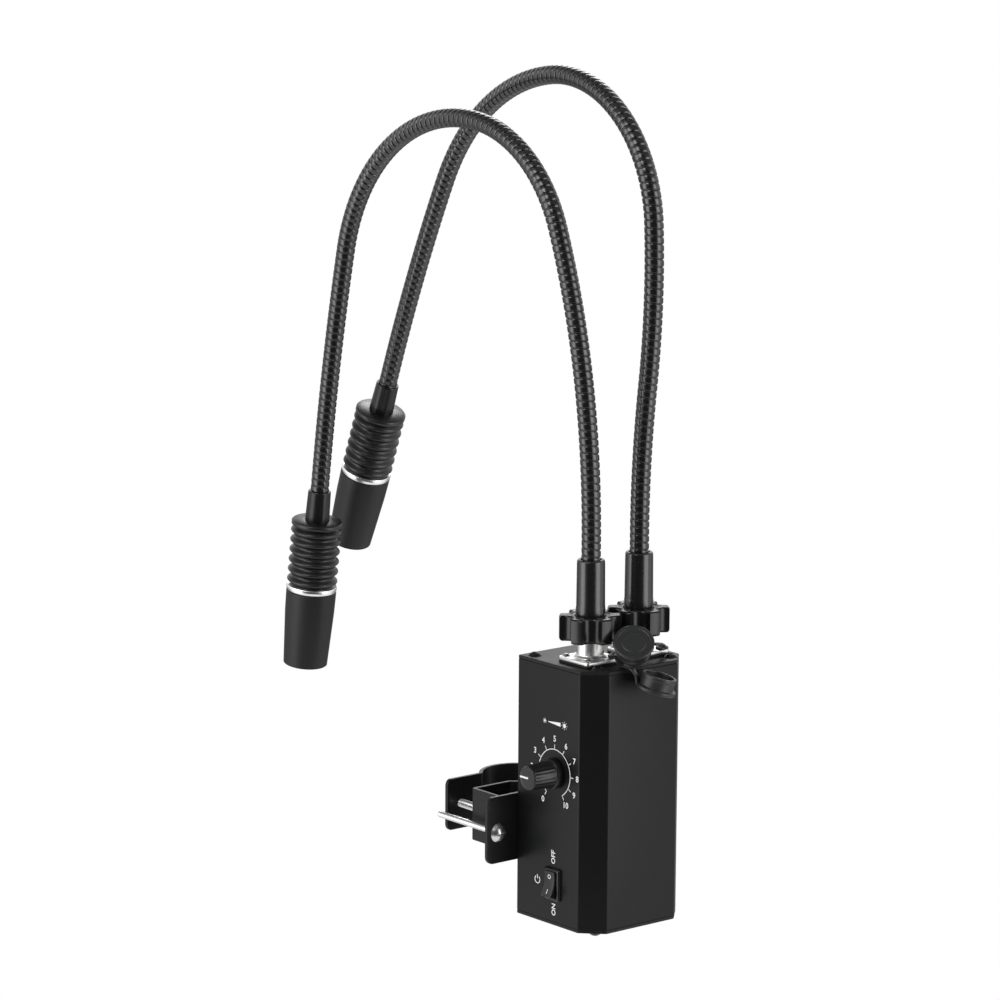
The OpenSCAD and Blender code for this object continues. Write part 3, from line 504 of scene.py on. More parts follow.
def buildSockets():
    r, bore, rim, pitch, hole = pick(socket, "barrelR bore rim ridgePitch hole")
    plan = roundRect(socket["flange"], socket["flange"], socket["corner"])
    crest = np.arange(flangeTop + socket["ridgeLow"], socket["ridgeHigh"], pitch)
    wide, narrow = np.full(len(crest), r), np.full(len(crest), r - socket["ridgeDeep"])
    ridges = np.stack([wide, crest, narrow, crest + pitch / 2], 1).reshape(-1, 2)
    foot = [[7.4, flangeTop - 0.2], [7.2, flangeTop + 0.35], [6.6, flangeTop + 0.7]]
    barrel = np.concatenate([foot, ridges, [[r - 0.3, rim], [bore, rim], [bore, flangeTop - 0.2]]])
    for name, side in twins:
        gasket = slab(plan, case["top"], gasketTop, socket["gasketEdge"], seat(side))
        flange = slab(plan, gasketTop, flangeTop, socket["flangeEdge"], seat(side))
        makePiece(name + "Gasket", [gasket], "gasketRubber", "socket_gaskets" if side < 0 else None)
        makePiece(name + "Socket", [flange, lathe(barrel, seat(side), ring=True)], "socketNickel",
            "socket_" + name)
        heads = []
        for sx, sy in ((-1, -1), (-1, 1), (1, -1), (1, 1)):
            # the screw that holds a cap's eye stands higher
            lift = socket["eyeLift"] if sx > 0 and sy > 0 else 0.0
            at = (socket["x"] + sx * hole, side * socket["y"] + sy * hole, flangeTop + lift)
            place = placeAt(at, (cos(sx + 2 * sy), sin(sx + 2 * sy), 0))
            heads.append(screwHead(place, socket["headR"], socket["headH"], "cross"))
        makePiece(name + "SocketScrews", heads, "zincSteel", "socket_screws" if side < 0 else None, sharp=50)


# coupling nut: a lobed ring round the plug
coupling = dict(low=88.4, high=100.0, r=14.0, bore=6.9, edge=1.3, lobes=6, lobeTurn=-8.0,
    scallopR=4.6, scallopOut=0.6, soft=0.3, steps=280)


# the nut's outline: a circle with round scallops cut into it, the corners eased by a soft minimum
def lobedRadius(angle):
    r, soft, step = coupling["r"], coupling["soft"], turn / coupling["lobes"]
    off = (angle - radians(coupling["lobeTurn"])) % step - step / 2
    centre = r + coupling["scallopOut"]
    inside = coupling["scallopR"] ** 2 - (centre * np.sin(off)) ** 2
    cut = np.where(inside > 0, centre * np.cos(off) - np.sqrt(np.maximum(inside, 0)), r + 4)
    return np.minimum(-soft * np.log(np.exp(-cut / soft) + np.exp(-r / soft)), r)


def buildNuts():
    low, high, bore = pick(coupling, "low high bore")
    angle = circle(coupling["steps"])
    one = np.ones_like(angle)
    inset, z = rolledRims(low, high, coupling["edge"], 5)
    lipR = [9.2, 8.9, bore + 0.4, bore, bore, bore + 0.4]
    lipZ = [high, high - 0.35, high - 0.35, high - 0.75, low + 0.4, low]
    radii = np.concatenate([lobedRadius(angle) - inset[:, None], np.outer(lipR, one)])
    grid = polar(radii, angle, np.outer(np.concatenate([z, lipZ]), one))
    for name, side in twins:
        makePiece(name + "CouplingNut", [gridSurf(placed(grid, seat(side)), ring=True)], "nutPlastic",
            "nut_" + name, "coupling_" + name, sharp=50)


# sleeve: rows of radius, height and rounding
sleeve = dict(rows=[[2.6, 96.4, 0], [7.3, 96.4, 0.2], [7.3, 98.2, 0.2], [6.6, 98.2, 0], [6.6, 103.0, 1.5],
    [6.45, 104.0, 2.0], [6.3, 122.8, 0.8], [6.22, 124.4, 0.5], [5.75, 125.0, 0.3],
    [4.75, 125.0, 0.2], [4.75, 121.0, 0], [2.6, 121.0, 0]])


def buildSleeves():
    profile = shaped(sleeve["rows"], 6)
    for name, side in twins:
        makePiece(name + "Sleeve", [lathe(profile, seat(side), 80, ring=True)], "sleeveGloss",
            "sleeve_" + name, sharp=35)


buildSockets()
buildNuts()
buildSleeves()

# arms: rows of arc length and turn, and the bend distances: the neck's pieces part halfway between them, and
# its head sits at the last
arms = {
    "front": dict(side=-1, bends=[0, 73.7, 151.7, 227.7, 351.7, 467.6],
        path=[[12, 0], [61.7, 8.4], [78, 12.3], [76, 65.2], [124, 81.9], [105.9, 4.7], [10, 0]]),
    "rear": dict(side=1, bends=[0, 79.7, 151.7, 257.7, 357.7, 465.7],
        path=[[12, 0], [67.7, -7.6], [72, 10.7], [106, 94.3], [100, 55.6], [98, 6], [10, 0]]),
}
neck = dict(startZ=121.3, splay=1.4, radius=4.35, pitch=3.3, sides=40, tail=5.0,
    blendReach=24.0, lastReach=9.0, lastBeyond=4.0,
    share=[0.0, 0.045, 0.09, 0.14, 0.24, 0.40, 0.60, 0.76, 0.86, 0.91, 0.955],
    drop=[0.48, 0.42, 0.16, 0.07, 0.02, 0.0, 0.0, 0.02, 0.07, 0.16, 0.42])


# position and heading on a chain of arcs: each arc adds its turn evenly along its length
def alongArm(arm, s):
    s = np.asarray(s, float)
    x, z, heading = np.zeros((3,) + s.shape)
    px, pz, ph, done = 0.0, neck["startZ"], pi / 2, 0.0
    for i, (length, bend) in enumerate(arm["path"]):
        last = i == len(arm["path"]) - 1
        here = (s >= done) & ((s < done + length) | last)
        local = np.append(s - done, length)
        a = radians(bend) * local / length
        if abs(bend) < 0.01:
            nx, nz = px + local * cos(ph), pz + local * sin(ph)
        else:
            r = length / radians(bend)
            nx = px + r * (np.sin(ph + a) - sin(ph))
            nz = pz - r * (np.cos(ph + a) - cos(ph))
        x[here], z[here], heading[here] = nx[:-1][here], nz[:-1][here], ph + a[:-1][here]
        px, pz, ph, done = nx[-1], nz[-1], ph + a[-1], done + length
    splay = radians(-arm["side"] * neck["splay"])
    along, aside = cos(splay), sin(splay)
    cosine, sine = np.cos(heading), np.sin(heading)
    point = np.stack([socket["x"] + x * along, arm["side"] * socket["y"] + x * aside, z], -1)
    ahead = np.stack([cosine * along, cosine * aside, sine], -1)
    up = np.stack([-sine * along, -sine * aside, cosine], -1)
    return point, ahead, up


# wound tube: a nearly flat band with a narrow groove beside it; rows of points follow the helix,
# one turn lower each time round
def neckSurf(arm, low, high):
    pitch, share = neck["pitch"], np.array(neck["share"])
    per = len(share)
    turns = np.arange(floor(low / pitch), ceil(high / pitch) + 2)
    station = (turns[:, None] + share[None]).ravel() * pitch
    angle = circle(neck["sides"])
    s = np.clip(station[:, None] - pitch * angle[None] / turn, low, high)
    phase = (s / pitch + angle[None] / turn) % 1.0
    radius = neck["radius"] - np.interp(phase, np.append(share, 1.0), neck["drop"] + neck["drop"][:1])
    point, ahead, up = (v.reshape(s.shape + (3,)) for v in alongArm(arm, s.ravel()))
    out = np.cos(angle)[None, :, None] * up + np.sin(angle)[None, :, None] * np.cross(ahead, up)
    verts, quads, _ = gridSurf(point + radius[..., None] * out, sheet=True)
    index = np.arange(s.size).reshape(s.shape)
    seam = np.stack([index[per:-1, -1], index[:-per - 1, 0], index[1:-per, 0], index[per + 1:, -1]], -1)
    return verts, np.concatenate([quads, seam]), []


def buildNecks():
    for name, arm in arms.items():
        b = arm["bends"]
        cuts = [0.0] + [(b[k] + b[k + 1]) / 2 for k in range(1, 5)] + [b[5] + neck["tail"]]
        for k in range(5):
            piece = makePiece(f"{name}Neck{k + 1}", [neckSurf(arm, cuts[k], cuts[k + 1])], "neckGloss",
                f"neck_{name}_{k + 1}", body=None, sharp=80, weld=True)
            point, ahead, _ = alongArm(arm, np.array([b[k + 1]]))
            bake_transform(piece)


# lamp heads, measured along the neck's last direction from its end
lamp = dict(stubLow=3.2, stubHigh=18.0, stubTop=5.4, stubR=5.8, leadR=2.6, sinkLen=32.0, sinkR=12.1,
    sinkBore=3.0, discLen=2.6, fins=6, perFin=16, groove=1.9, ringLen=2.5, ringBore=9.7, barrelLen=37.4,
    mouthR=10.5, lensR=9.0, lensBack=5.4, lensRim=3.4, lensBulge=1.2)


# heat sink: a flat top disc, then a wave along the axis that leaves a groove between each two fins
def sinkProfile():
    low, r, disc, fins, bore = pick(lamp, "stubHigh sinkR discLen fins sinkBore")
    pitch = (lamp["sinkLen"] - disc) / fins
    share = np.linspace(0, fins, fins * lamp["perFin"] + 1)
    wave = 0.5 + 0.5 * np.cos(turn * share)
    top = [[bore, low], [r - 0.5, low], [r, low + 0.5], [r, low + disc - 0.7], [r - 0.5, low + disc - 0.2]]
    waves = np.stack([r - lamp["groove"] * wave, low + disc + pitch * share], 1)
    return np.concatenate([top, waves, [[bore, low + lamp["sinkLen"]]]])


def buildHeads():
    low, high, top, foot, lead = pick(lamp, "stubLow stubHigh stubTop stubR leadR")
    r, m, lens, bore = pick(lamp, "sinkR mouthR lensR ringBore")
    ringLow = high + lamp["sinkLen"]
    barrelLow = ringLow + lamp["ringLen"]
    end = barrelLow + lamp["barrelLen"]
    back, rim = end - lamp["lensBack"], end - lamp["lensRim"]
    stub = shaped([[lead, low + 1.8, 0], [4.5, low + 0.1, 0.1], [top - 0.25, low, 0.2], [top, low + 0.6, 0.4],
        [foot, high - 0.8, 0.3], [foot, high, 0], [lead, high, 0]], 4)
    ring = shaped([[bore, ringLow, 0], [r - 0.25, ringLow, 0.3], [r, ringLow + lamp["ringLen"] / 2, 0.9],
        [r - 0.25, barrelLow, 0.3], [bore, barrelLow, 0]], 4)
    barrel = shaped([[lens + 0.05, barrelLow, 0], [r - 0.6, barrelLow, 0.4], [r - 0.1, barrelLow + 0.7, 0.4],
        [r - 0.3, barrelLow + 11, 30], [m, end - 0.3, 0.2], [m - 0.35, end, 0.2],
        [lens + 0.15, end, 0.1], [lens + 0.05, end - 0.4, 0.1]], 6)
    bulge = np.linspace(0, 1, 12) * 1.5
    dome = np.stack([lens * np.cos(bulge), rim + lamp["lensBulge"] * np.sin(bulge)], 1)
    clear = np.concatenate([[[0.4, back], [lens, back], [lens, rim]], dome])
    shapes = (("Stub", "stub_", stub, 64, "stubRubber", 35),
        ("HeatSink", "sink_", sinkProfile(), 96, "finAnodised", 50),
        ("Ring", "ring_", ring, 96, "ringChrome", 50),
        ("Barrel", "barrel_", barrel, 96, "lampAnodised", 40),
        ("Lens", "lens_", clear, 72, "lensGlass", 40))
    for name, arm in arms.items():
        point, ahead, up = alongArm(arm, np.array([arm["bends"][5]]))
        place = placeAt(point[0], up[0], ahead[0])
        for title, node, profile, steps, finish, sharp in shapes:
            surf = lathe(profile, place, steps, ring=title != "Lens")
            makePiece(name + title, [surf], finish, node + name, name + "_head", sharp)


buildNecks()
buildHeads()

# dimmer knob and its pointer; local z points out of the front face and local y points up
dimmer = dict(x=61.0, z=28.5, out=16.0, skirtR=7.0, bodyR=6.35, tipR=5.35, flutes=20, fluteDepth=0.42,
    fluteForm=1.5, fluteLow=4.4, fluteTop=0.7, fluteEase=0.8, pointer=180.0, pointerW=0.85, pointerT=0.14)


def facePlace(x, z):
    return placeAt((x, -case["face"], z), (1, 0, 0), (0, -1, 0))


# a plan on the front face: its second direction is up, and it stands out by a distance
def onFace(plan, x, z, out):
    return np.stack([x + plan[:, 0], np.full(len(plan), -case["face"] - out), z + plan[:, 1]], 1)


def buildKnob():
    out, body, tip, skirt = pick(dimmer, "out bodyR tipR skirtR")
    profile = shaped([[0.3, out - 2.3, 0], [2.6, out - 2.3, 0], [2.6, 5.8, 0], [3.8, 5.8, 0], [3.8, 2.4, 0],
        [6.0, 2.4, 0], [6.0, 0.8, 0.2], [skirt, 0.8, 0.25], [skirt, 3.2, 0.5], [body + 0.1, 3.9, 0.4],
        [body, 4.6, 0.6], [tip + 0.15, out - 0.9, 0.7], [tip - 0.25, out - 0.05, 0.3],
        [tip - 0.9, out - 0.3, 0.3], [0.3, out - 0.3, 0]], 5)

    # flutes: the radius dips by a raised cosine between the skirt and the tip
    def flutes(radius, angle, height):
        low, top, ease = pick(dimmer, "fluteLow fluteTop fluteEase")
        wave = (0.5 - 0.5 * np.cos(angle * dimmer["flutes"])) ** dimmer["fluteForm"]
        on = np.clip((height - low) / ease, 0, 1) * np.clip((out - top - height) / ease, 0, 1)
        return radius - dimmer["fluteDepth"] * wave * on * (radius > tip - 0.1)

    place = facePlace(dimmer["x"], dimmer["z"])
    knob = lathe(profile, place, 240, swell=flutes)
    makePiece("dimmerKnob", [knob], "knobPlastic", "dimmer_knob", "dimmer")
    side = headings(radians(dimmer["pointer"]))
    line = np.array([[-0.4, out - 0.28], [2.7, out - 0.28], [tip - 1.2, out - 0.28], [tip - 0.5, out - 0.05],
        [tip - 0.1, out - 0.35], [tip + 0.12, out - 1.4], [tip + 0.2, out - 3.0]])
    path = np.concatenate([line[:, :1] * side, line[:, 1:]], 1)
    across = [-side[1], side[0], 0.0]
    section = roundRect(dimmer["pointerW"], dimmer["pointerW"], 0.1, 2) * [1.0, dimmer["pointerT"]]
    verts, quads, caps = sweep(path, across, np.cross(tangents(path), across), section)
    makePiece("knobPointer", [(placed(verts, place), quads, caps)], "whiteInk", body="dimmer")


# printed marks are thin plates of ink on the front face
ink = dict(high=0.06, swell=0.05)


def inkPlate(plan, x, z):
    return gridSurf(np.stack([onFace(plan, x, z, 0.0), onFace(plan, x, z, ink["high"])]))


def inkArc(radius, width, startDeg, endDeg, x, z):
    ring = headings(np.radians(np.linspace(startDeg, endDeg, max(8, int(abs(endDeg - startDeg) / 3)))))
    return inkPlate(np.concatenate([ring * (radius + width / 2), ring[::-1] * (radius - width / 2)]), x, z)


def inkBar(start, end, width, x, z):
    along = unit(np.subtract(end, start))
    aside = np.array([-along[1], along[0]]) * width / 2
    return inkPlate(np.array([start - aside, end - aside, end + aside, start + aside]), x, z)


# words: the outline of each letter is filled by Blender, then turned and laid on the face
def inkText(name, words, size, x, z, tilt=0.0):
    curve = bpy.data.curves.new(name, "FONT")
    curve.body, curve.size, curve.align_x, curve.align_y = words, size, "CENTER", "CENTER"
    curve.extrude, curve.offset, curve.resolution_u = ink["high"] / 2, ink["swell"], 4
    holder = addObject(name + "Curve", curve)
    bpy.context.view_layer.update()
    mesh = bpy.data.meshes.new_from_object(holder.evaluated_get(bpy.context.evaluated_depsgraph_get()))
    bpy.data.objects.remove(holder)
    points = np.array([vertex.co for vertex in mesh.vertices], float)
    across, up = points[:, :1], points[:, 1:2]
    right = headings(radians(tilt))
    final = onFace(across * right + up * [-right[1], right[0]], x, z, 0.0)
    final[:, 1] -= points[:, 2] + ink["high"] / 2
    mesh.vertices.foreach_set("co", (final * mm).astype(np.float32).ravel())
    mesh.update()
    mesh.materials.append(paint["whiteInk"])
    piece = addObject(name, mesh)
    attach(piece, "housing")


dial = dict(arc=10.8, tick=13.0, number=15.6, first=240.0, step=30.0, textSize=3.8, line=0.36)


def buildDial():
    x, z, arc, line, first, step = *pick(dimmer, "x z"), *pick(dial, "arc line first step")
    marks = [inkArc(arc, line, first, first - 10 * step, x, z)]
    for i in range(11):
        aim = headings(radians(first - i * step))
        marks.append(inkBar(aim * arc, aim * dial["tick"], line, x, z))
        at = aim * dial["number"]
        inkText(f"dialNumber{i}", str(i), dial["textSize"], x + at[0], z + at[1])
    makePiece("dialMarks", marks, "whiteInk", sharp=30)


# a growing wedge between a small and a large sun above the dial, and signs and words beside the switch
signs = dict(x=60.7, z=51.3, wedge=[[-4.2, -0.15], [4.2, -0.9], [4.2, 0.9], [-4.2, 0.15]],
    suns=((-6.6, 0.6), (6.9, 0.95)), ray=0.26, powerX=49.8, powerZ=-23.0, powerR=1.7, powerLine=0.4,
    labels=(("labelOff", "OFF", 60.8, -10.4), ("labelOn", "ON", 61.3, -34.6)), labelSize=3.6)


def buildSymbols():
    x, z, px, pz, line = pick(signs, "x z powerX powerZ powerLine")
    marks = [inkPlate(np.array(signs["wedge"]), x, z)]
    for centre, size in signs["suns"]:
        marks.append(inkArc(size * 0.5, size, 0, 357, x + centre, z))
        for aim in headings(circle(8)):
            marks.append(inkBar(aim * size * 1.45, aim * size * 2.0, signs["ray"], x + centre, z))
    marks.append(inkArc(signs["powerR"], line, 125, 415, px, pz))
    marks.append(inkBar((0, 0.4), (0, 2.3), line, px, pz))
    makePiece("panelSymbols", marks, "whiteInk", sharp=30)
    for name, words, labelX, labelZ in signs["labels"]:
        inkText(name, words, signs["labelSize"], labelX, labelZ, 90)


# rocker switch: bezel rows are inset, height and corner radius
rocker = dict(x=61.0, z=-22.8, bezelW=10.5, bezelH=15.0, bezelT=1.6, gap=0.8, w=6.8, h=11.8, pivotDeep=0.9,
    tilt=11.0, well=(1.35, -3.2), face=2.1, bow=1.1, bowForm=1.7, markY=3.4, markT=0.05,
    bezel=[(0.0, 0.0, 1.1), (0.0, 0.7, 1.1), (0.3, 1.3, 1.0), (0.8, 1.6, 0.9), (1.3, 1.6, 0.6)])


def buildSwitch():
    place = facePlace(rocker["x"], rocker["z"])
    wide, tall, w, h, gap = pick(rocker, "bezelW bezelH w h gap")
    inner = roundRect(w + gap, h + gap, 0.3, 4)
    grid = [atHeight(roundRect(wide - 2 * inset, tall - 2 * inset, r, 4), z)
        for inset, z, r in rocker["bezel"]]
    grid += [atHeight(inner, z) for z in rocker["well"]]
    makePiece("switchBezel", [gridSurf(placed(np.array(grid), place))], "switchPlastic", "switch_frame")

    # the rocker's side outline: a hollow face that rises towards both ends, over a narrower foot
    half = h / 2
    low, bow, form = pick(rocker, "face bow bowForm")
    share = np.linspace(-1, 1, 17)
    face = np.stack([share * half, low + bow * np.abs(share) ** form], 1)
    outline = np.concatenate([face, [[half, -0.8], [3, -2], [-3, -2], [-half, -0.8]]])
    section = rounded(outline, [0.5] + [0.0] * 15 + [0.5] + [0.2] * 4, 4, closed=True)
    pivot = (0, 0, rocker["bezelT"] - rocker["pivotDeep"])
    rock = place @ tilted(radians(-rocker["tilt"]), pivot)
    swap = np.eye(4)
    swap[:3, :3] = [[0, 0, 1], [1, 0, 0], [0, 1, 0]]
    makePiece("switchRocker", [slab(section, -w / 2, w / 2, 0.35, rock @ swap)], "switchPlastic",
        "switch_rocker", "rocker")

    # ring on the upper half for off, bar on the lower half for on
    t = rocker["markT"]
    disc, bar = headings(circle(32)), roundRect(0.36, 2.1, 0.1, 2)
    hole = disc * 0.68
    loops = (1, [(disc, -t), (disc, t), (hole, t), (hole, -t)]), (-1, [(bar, -t), (bar, t)])
    marks = []
    for up, rows in loops:
        y = rocker["markY"]
        slope = atan(bow * form * (y / half) ** (form - 1) / half * up)
        lean = tilted(slope, (0, up * y, low + bow * (y / half) ** form))
        local = np.array([atHeight(plan, z) for plan, z in rows])
        marks.append(gridSurf(placed(local, rock @ lean), ring=up > 0))
    makePiece("rockerMarks", marks, "whiteInk", body="rocker", sharp=30)


# power inlet in the rear face: rows of radius, height and rounding
inlet = dict(x=61.0, z=-24.0,
    shell=[[3.2, -7.5, 0], [5.4, -7.5, 0], [5.4, -0.05, 0], [7.0, 0.0, 0.1], [7.0, 1.4, 0.5],
        [6.2, 2.0, 0.3], [3.6, 2.0, 0.3], [3.2, 1.6, 0.2]],
    pin=[[0.3, 0.4, 0], [0.7, 0.4, 0.2], [1.05, 0.0, 0.2], [1.05, -8.0, 0], [0.3, -8.0, 0]],
    backing=[[0.3, -7.4], [5.3, -7.4], [5.3, -8.4], [0.3, -8.4]])


def buildInlet():
    place = placeAt((inlet["x"], case["face"], inlet["z"]), (1, 0, 0), (0, 1, 0))
    body = [lathe(shaped(inlet["shell"], 4), place, ring=True), lathe(inlet["backing"], place, 48)]
    makePiece("powerInlet", body, "switchPlastic", "dc_inlet")
    makePiece("inletPin", [lathe(shaped(inlet["pin"], 3), place, 32)], "zincSteel", "inlet_pin")


buildKnob()
buildDial()
buildSymbols()
buildSwitch()
buildInlet()

# clamp: bent sheet round the pole axis, with its plate, bolts and long screws; threads are radius, pitch
# and depth, heads are radius and height, and nuts are radius, thickness and bore
clamp = dict(t=1.8, h=24.2, edge=0.35, bend=2.2, poleR=16.0, inFlat=9.5, outFlat=8.4, webY=35.3, jawEnd=34.5,
    jawCorner=2.5, plateX=33.0, plateT=2.0, plateW=93.0, plateLow=-17.0, plateH=31.0, plateCorner=3.5,
    plateEdge=0.4, boltY=26.6, boltTip=15.8, boltThread=(2.0, 0.7, 0.32), boltHead=(4.0, 2.8),
    nut=(4.0, 3.0, 2.2), nutOut=3.1, rodY=40.3, rodZ=-2.7, rodTip=-7.0, rodThread=(1.5, 0.5, 0.09),
    rodHead=(4.4, 3.0), rodNut=(3.2, 2.4, 1.52), screwY=19.6, screwZ=7.5, screwHead=(2.8, 1.7))


# points on the sheet's middle line round the pole, between two angles
def poleArc(radius, startDeg, endDeg):
    return radius * headings(np.radians(np.linspace(startDeg, endDeg, 60)))


# sheet bent along a plan path: a thin rounded rectangle carried along it, its height eased in at rounded ends
def bentSheet(plan, corner):
    path = atHeight(softPath(plan, 0.35, clamp["bend"]), 0.0)
    section, up = roundRect(clamp["t"], clamp["h"], clamp["edge"], 4), [0.0, 0.0, 1.0]
    station = stations(path)
    ease = np.maximum(corner - np.minimum(station, station[-1] - station), 0)
    drop = corner - np.sqrt(np.maximum(corner ** 2 - ease ** 2, 0))
    return sweep(path, np.cross(up, tangents(path)), up, section, 1 - 2 * drop / clamp["h"])


# a place whose local z axis lies along the part's x axis
def lying(x, y, z, across=(0, 1, 0), ahead=1):
    return placeAt((x, y, z), across, (ahead, 0, 0))


def buildClamp():
    t, inFlat, outFlat, plateX, plateT, webY, end = pick(clamp, "t inFlat outFlat plateX plateT webY jawEnd")
    half = t / 2
    arcR, inX, outX, web = clamp["poleR"] + half, inFlat + half, -outFlat - half, webY - half
    spread = degrees(acos(inX / arcR))
    channel = np.concatenate([[[plateX, -web], [inX, -web]], poleArc(arcR, -spread, spread),
        [[inX, web], [plateX, web]]])
    makePiece("clampChannel", [bentSheet(channel, 0.0)], "clampPaint", "clamp_channel")
    spread = degrees(acos(-outX / arcR))
    jaw = np.concatenate([[[outX, -end]], poleArc(arcR, 180 + spread, 180 - spread), [[outX, end]]])
    makePiece("clampJaw", [bentSheet(jaw, clamp["jawCorner"])], "clampPaint", "clamp_jaw", "jaw")
    outline = roundRect(clamp["plateW"], clamp["plateH"], clamp["plateCorner"])
    standing = lying(plateX, 0, clamp["plateLow"] + clamp["plateH"] / 2)
    plate = slab(outline, 0, plateT, clamp["plateEdge"], standing)
    makePiece("clampPlate", [plate], "clampPaint", "clamp_plate")

    boltTip, rodTip, rodZ, rodNut = pick(clamp, "boltTip rodTip rodZ rodNut")
    upright = (0, 0, 1)
    bolts, rods, nuts, heads = [], [], [], []
    for name, side in twins:
        y = side * clamp["boltY"]
        bolts.append(threadRod(lying(-boltTip, y, 0), boltTip + inFlat + t, *clamp["boltThread"]))
        bolts.append(hexBlock(lying(inFlat + t, y, 0), *clamp["boltHead"]))
        jawNut = hexBlock(lying(-outFlat - t - clamp["nutOut"], y, 0, upright), *clamp["nut"])
        makePiece(name + "JawNut", [jawNut], "zincSteel", "jaw_nut_" + name, "jaw_fastener_" + name, sharp=30)
        y = side * clamp["rodY"]
        rods.append(threadRod(lying(rodTip, y, rodZ), plateX - rodTip + plateT, *clamp["rodThread"]))
        rods.append(screwHead(lying(plateX + plateT, y, rodZ, (0, 1, 0.3)), *clamp["rodHead"], "cross"))
        nuts.append(hexBlock(lying(plateX - rodNut[1], y, rodZ, upright), *rodNut))
        for z in (-clamp["screwZ"], clamp["screwZ"]):
            place = lying(plateX, side * clamp["screwY"], z, (0, 1, side * 0.4), -1)
            heads.append(screwHead(place, *clamp["screwHead"], "cross"))
    rows = (("clampBolts", bolts, "clamp_bolts", 40), ("bracketScrews", rods, "bracket_screws", 40),
        ("bracketNuts", nuts, "bracket_nuts", 30), ("plateScrews", heads, "plate_screws", 50))
    for title, surfs, node, sharp in rows:
        makePiece(title, surfs, "zincSteel", node, sharp=sharp)


# dust caps: a soft cup on a wider disc, a flat strap and an eye round a flange screw;
# straps and cups are placed from the eye, and a cup's row is its place and its turns about x, y and z
cap = dict(discR=9.2, discT=2.0, cupR=7.9, bore=6.5, deep=5.6, strapW=3.2, strapT=1.0, strapEdge=0.35,
    softness=3.0)
capStraps = {
    "front": [[1.6, -0.6, 0], [2.4, -0.9, 0], [5.4, -2.2, 0], [8.0, -3.0, -2.4], [16.2, -3.3, -2.4],
        [18.1, -2.2, -5.9], [18.7, -1.98, -9.2]],
    "rear": [[1.6, -0.65, 0], [2.4, -1, 0], [6.4, -5, 2], [11.4, -10.5, 4.6], [16.8, -16.8, 7],
        [20.85, -22.1, 8.2], [21.35, -24.3, 8.55]],
}
capCups = {"front": ((23.4, 4.4, -10.0), (-12.5, 10.0, 0.0)),
    "rear": ((15.5, -30.5, 8.8), (0.0, -137.0, -39.6))}


def buildCaps():
    discR, discT, cupR, bore, deep, t = pick(cap, "discR discT cupR bore deep strapT")
    groove, waist = 0.25 - discT, cupR - 0.2
    cup = shaped([[0.5, -discT, 0], [5.2, -discT, 0.2], [5.6, groove, 0.2], [7.2, groove, 0.2],
        [7.6, -discT, 0.2], [discR, -discT, 0.7], [discR, 0, 0.7], [waist, 0, 0.5], [waist, 3.6, 0.3],
        [cupR, 4.2, 0.3], [cupR, deep, 0.5], [bore, deep, 0.5], [bore, 0.2, 0.8], [0.5, 0.2, 0]], 4)
    eye = shaped([[1.4, 0, 0.1], [2.9, 0, 0.35], [2.9, t, 0.35], [1.4, t, 0.1]], 3, closed=True)
    section = roundRect(cap["strapW"], t, cap["strapEdge"], 4)
    for name, end in twins:
        origin = np.array([socket["x"] + socket["hole"], end * socket["y"] + socket["hole"], flangeTop])
        at, tilt = capCups[name]
        spins = [Matrix.Rotation(radians(angle), 3, axis) for angle, axis in zip(tilt, "XYZ")]
        place = np.eye(4)
        place[:3, :3], place[:3, 3] = np.array(spins[2] @ spins[1] @ spins[0]), origin + at
        path = softPath(np.array(capStraps[name]) + [0, 0, t / 2], 0.3, cap["softness"]) + origin
        along = tangents(path)
        side = unit(np.cross(along, [0.0, 0.0, 1.0]))
        strap = sweep(path, side, np.cross(side, along), section)
        surfs = [lathe(cup, place, 80), strap, lathe(eye, placeAt(origin), 40, ring=True)]
        makePiece(name + "DustCap", surfs, "capRubber", "cap_" + name, "dust_cap_" + name)


buildClamp()
buildCaps()

# solids that stay as they are, mostly inside, take a finish by name
kept = {
    "zincSteel": ["dimmer_pot", "pot_nut", "pot_shaft", "inlet_nut", "board_standoffs", "board_screws"],
    "knobPlastic": ["socket_inserts", "board_parts"],
    "boardGreen": ["driver_board"],
    "ledYellow": ["led_front", "led_rear"],
}
for finish, names in kept.items():
    for name in names:
        nodes[name].data.materials.clear()
        nodes[name].data.materials.append(paint[finish])

# studio: pale floor, white surround for what the camera sees and softer light for the rest
studio = dict(floorZ=-420.0, floorSize=1100.0, floorGlow=0.92, fadeFrom=0.4, fadeTo=0.9,
    fill=0.5, frontDark=0.86, frontWhite=0.5, frontLevel=0.05, rearWhite=-0.15, rearDark=-0.6, rearLevel=0.3,
    lowFrom=-0.12, lowTo=0.02, ceilingFrom=0.3, ceilingTo=0.7, ceilingLevel=0.3,
    stripLeft=66.0, stripRight=57.0, stripOut=1.4)

# soft boxes, in metres and watts: place, the height they aim at, width, height and power;
# the strips lack a place, which is worked out
boxes = {
    "keyBox": ((0.5, -1.6, 1.5), 0.12, 0.9, 0.9, 12.0),
    "sideBox": ((1.9, 0.6, 0.7), 0.12, 0.7, 1.2, 1.6),
    "backBox": ((-1.2, 1.2, 1.3), 0.12, 0.9, 0.9, 13.0),
}
strip = (0.15, 0.9, 1.6, 10.0)


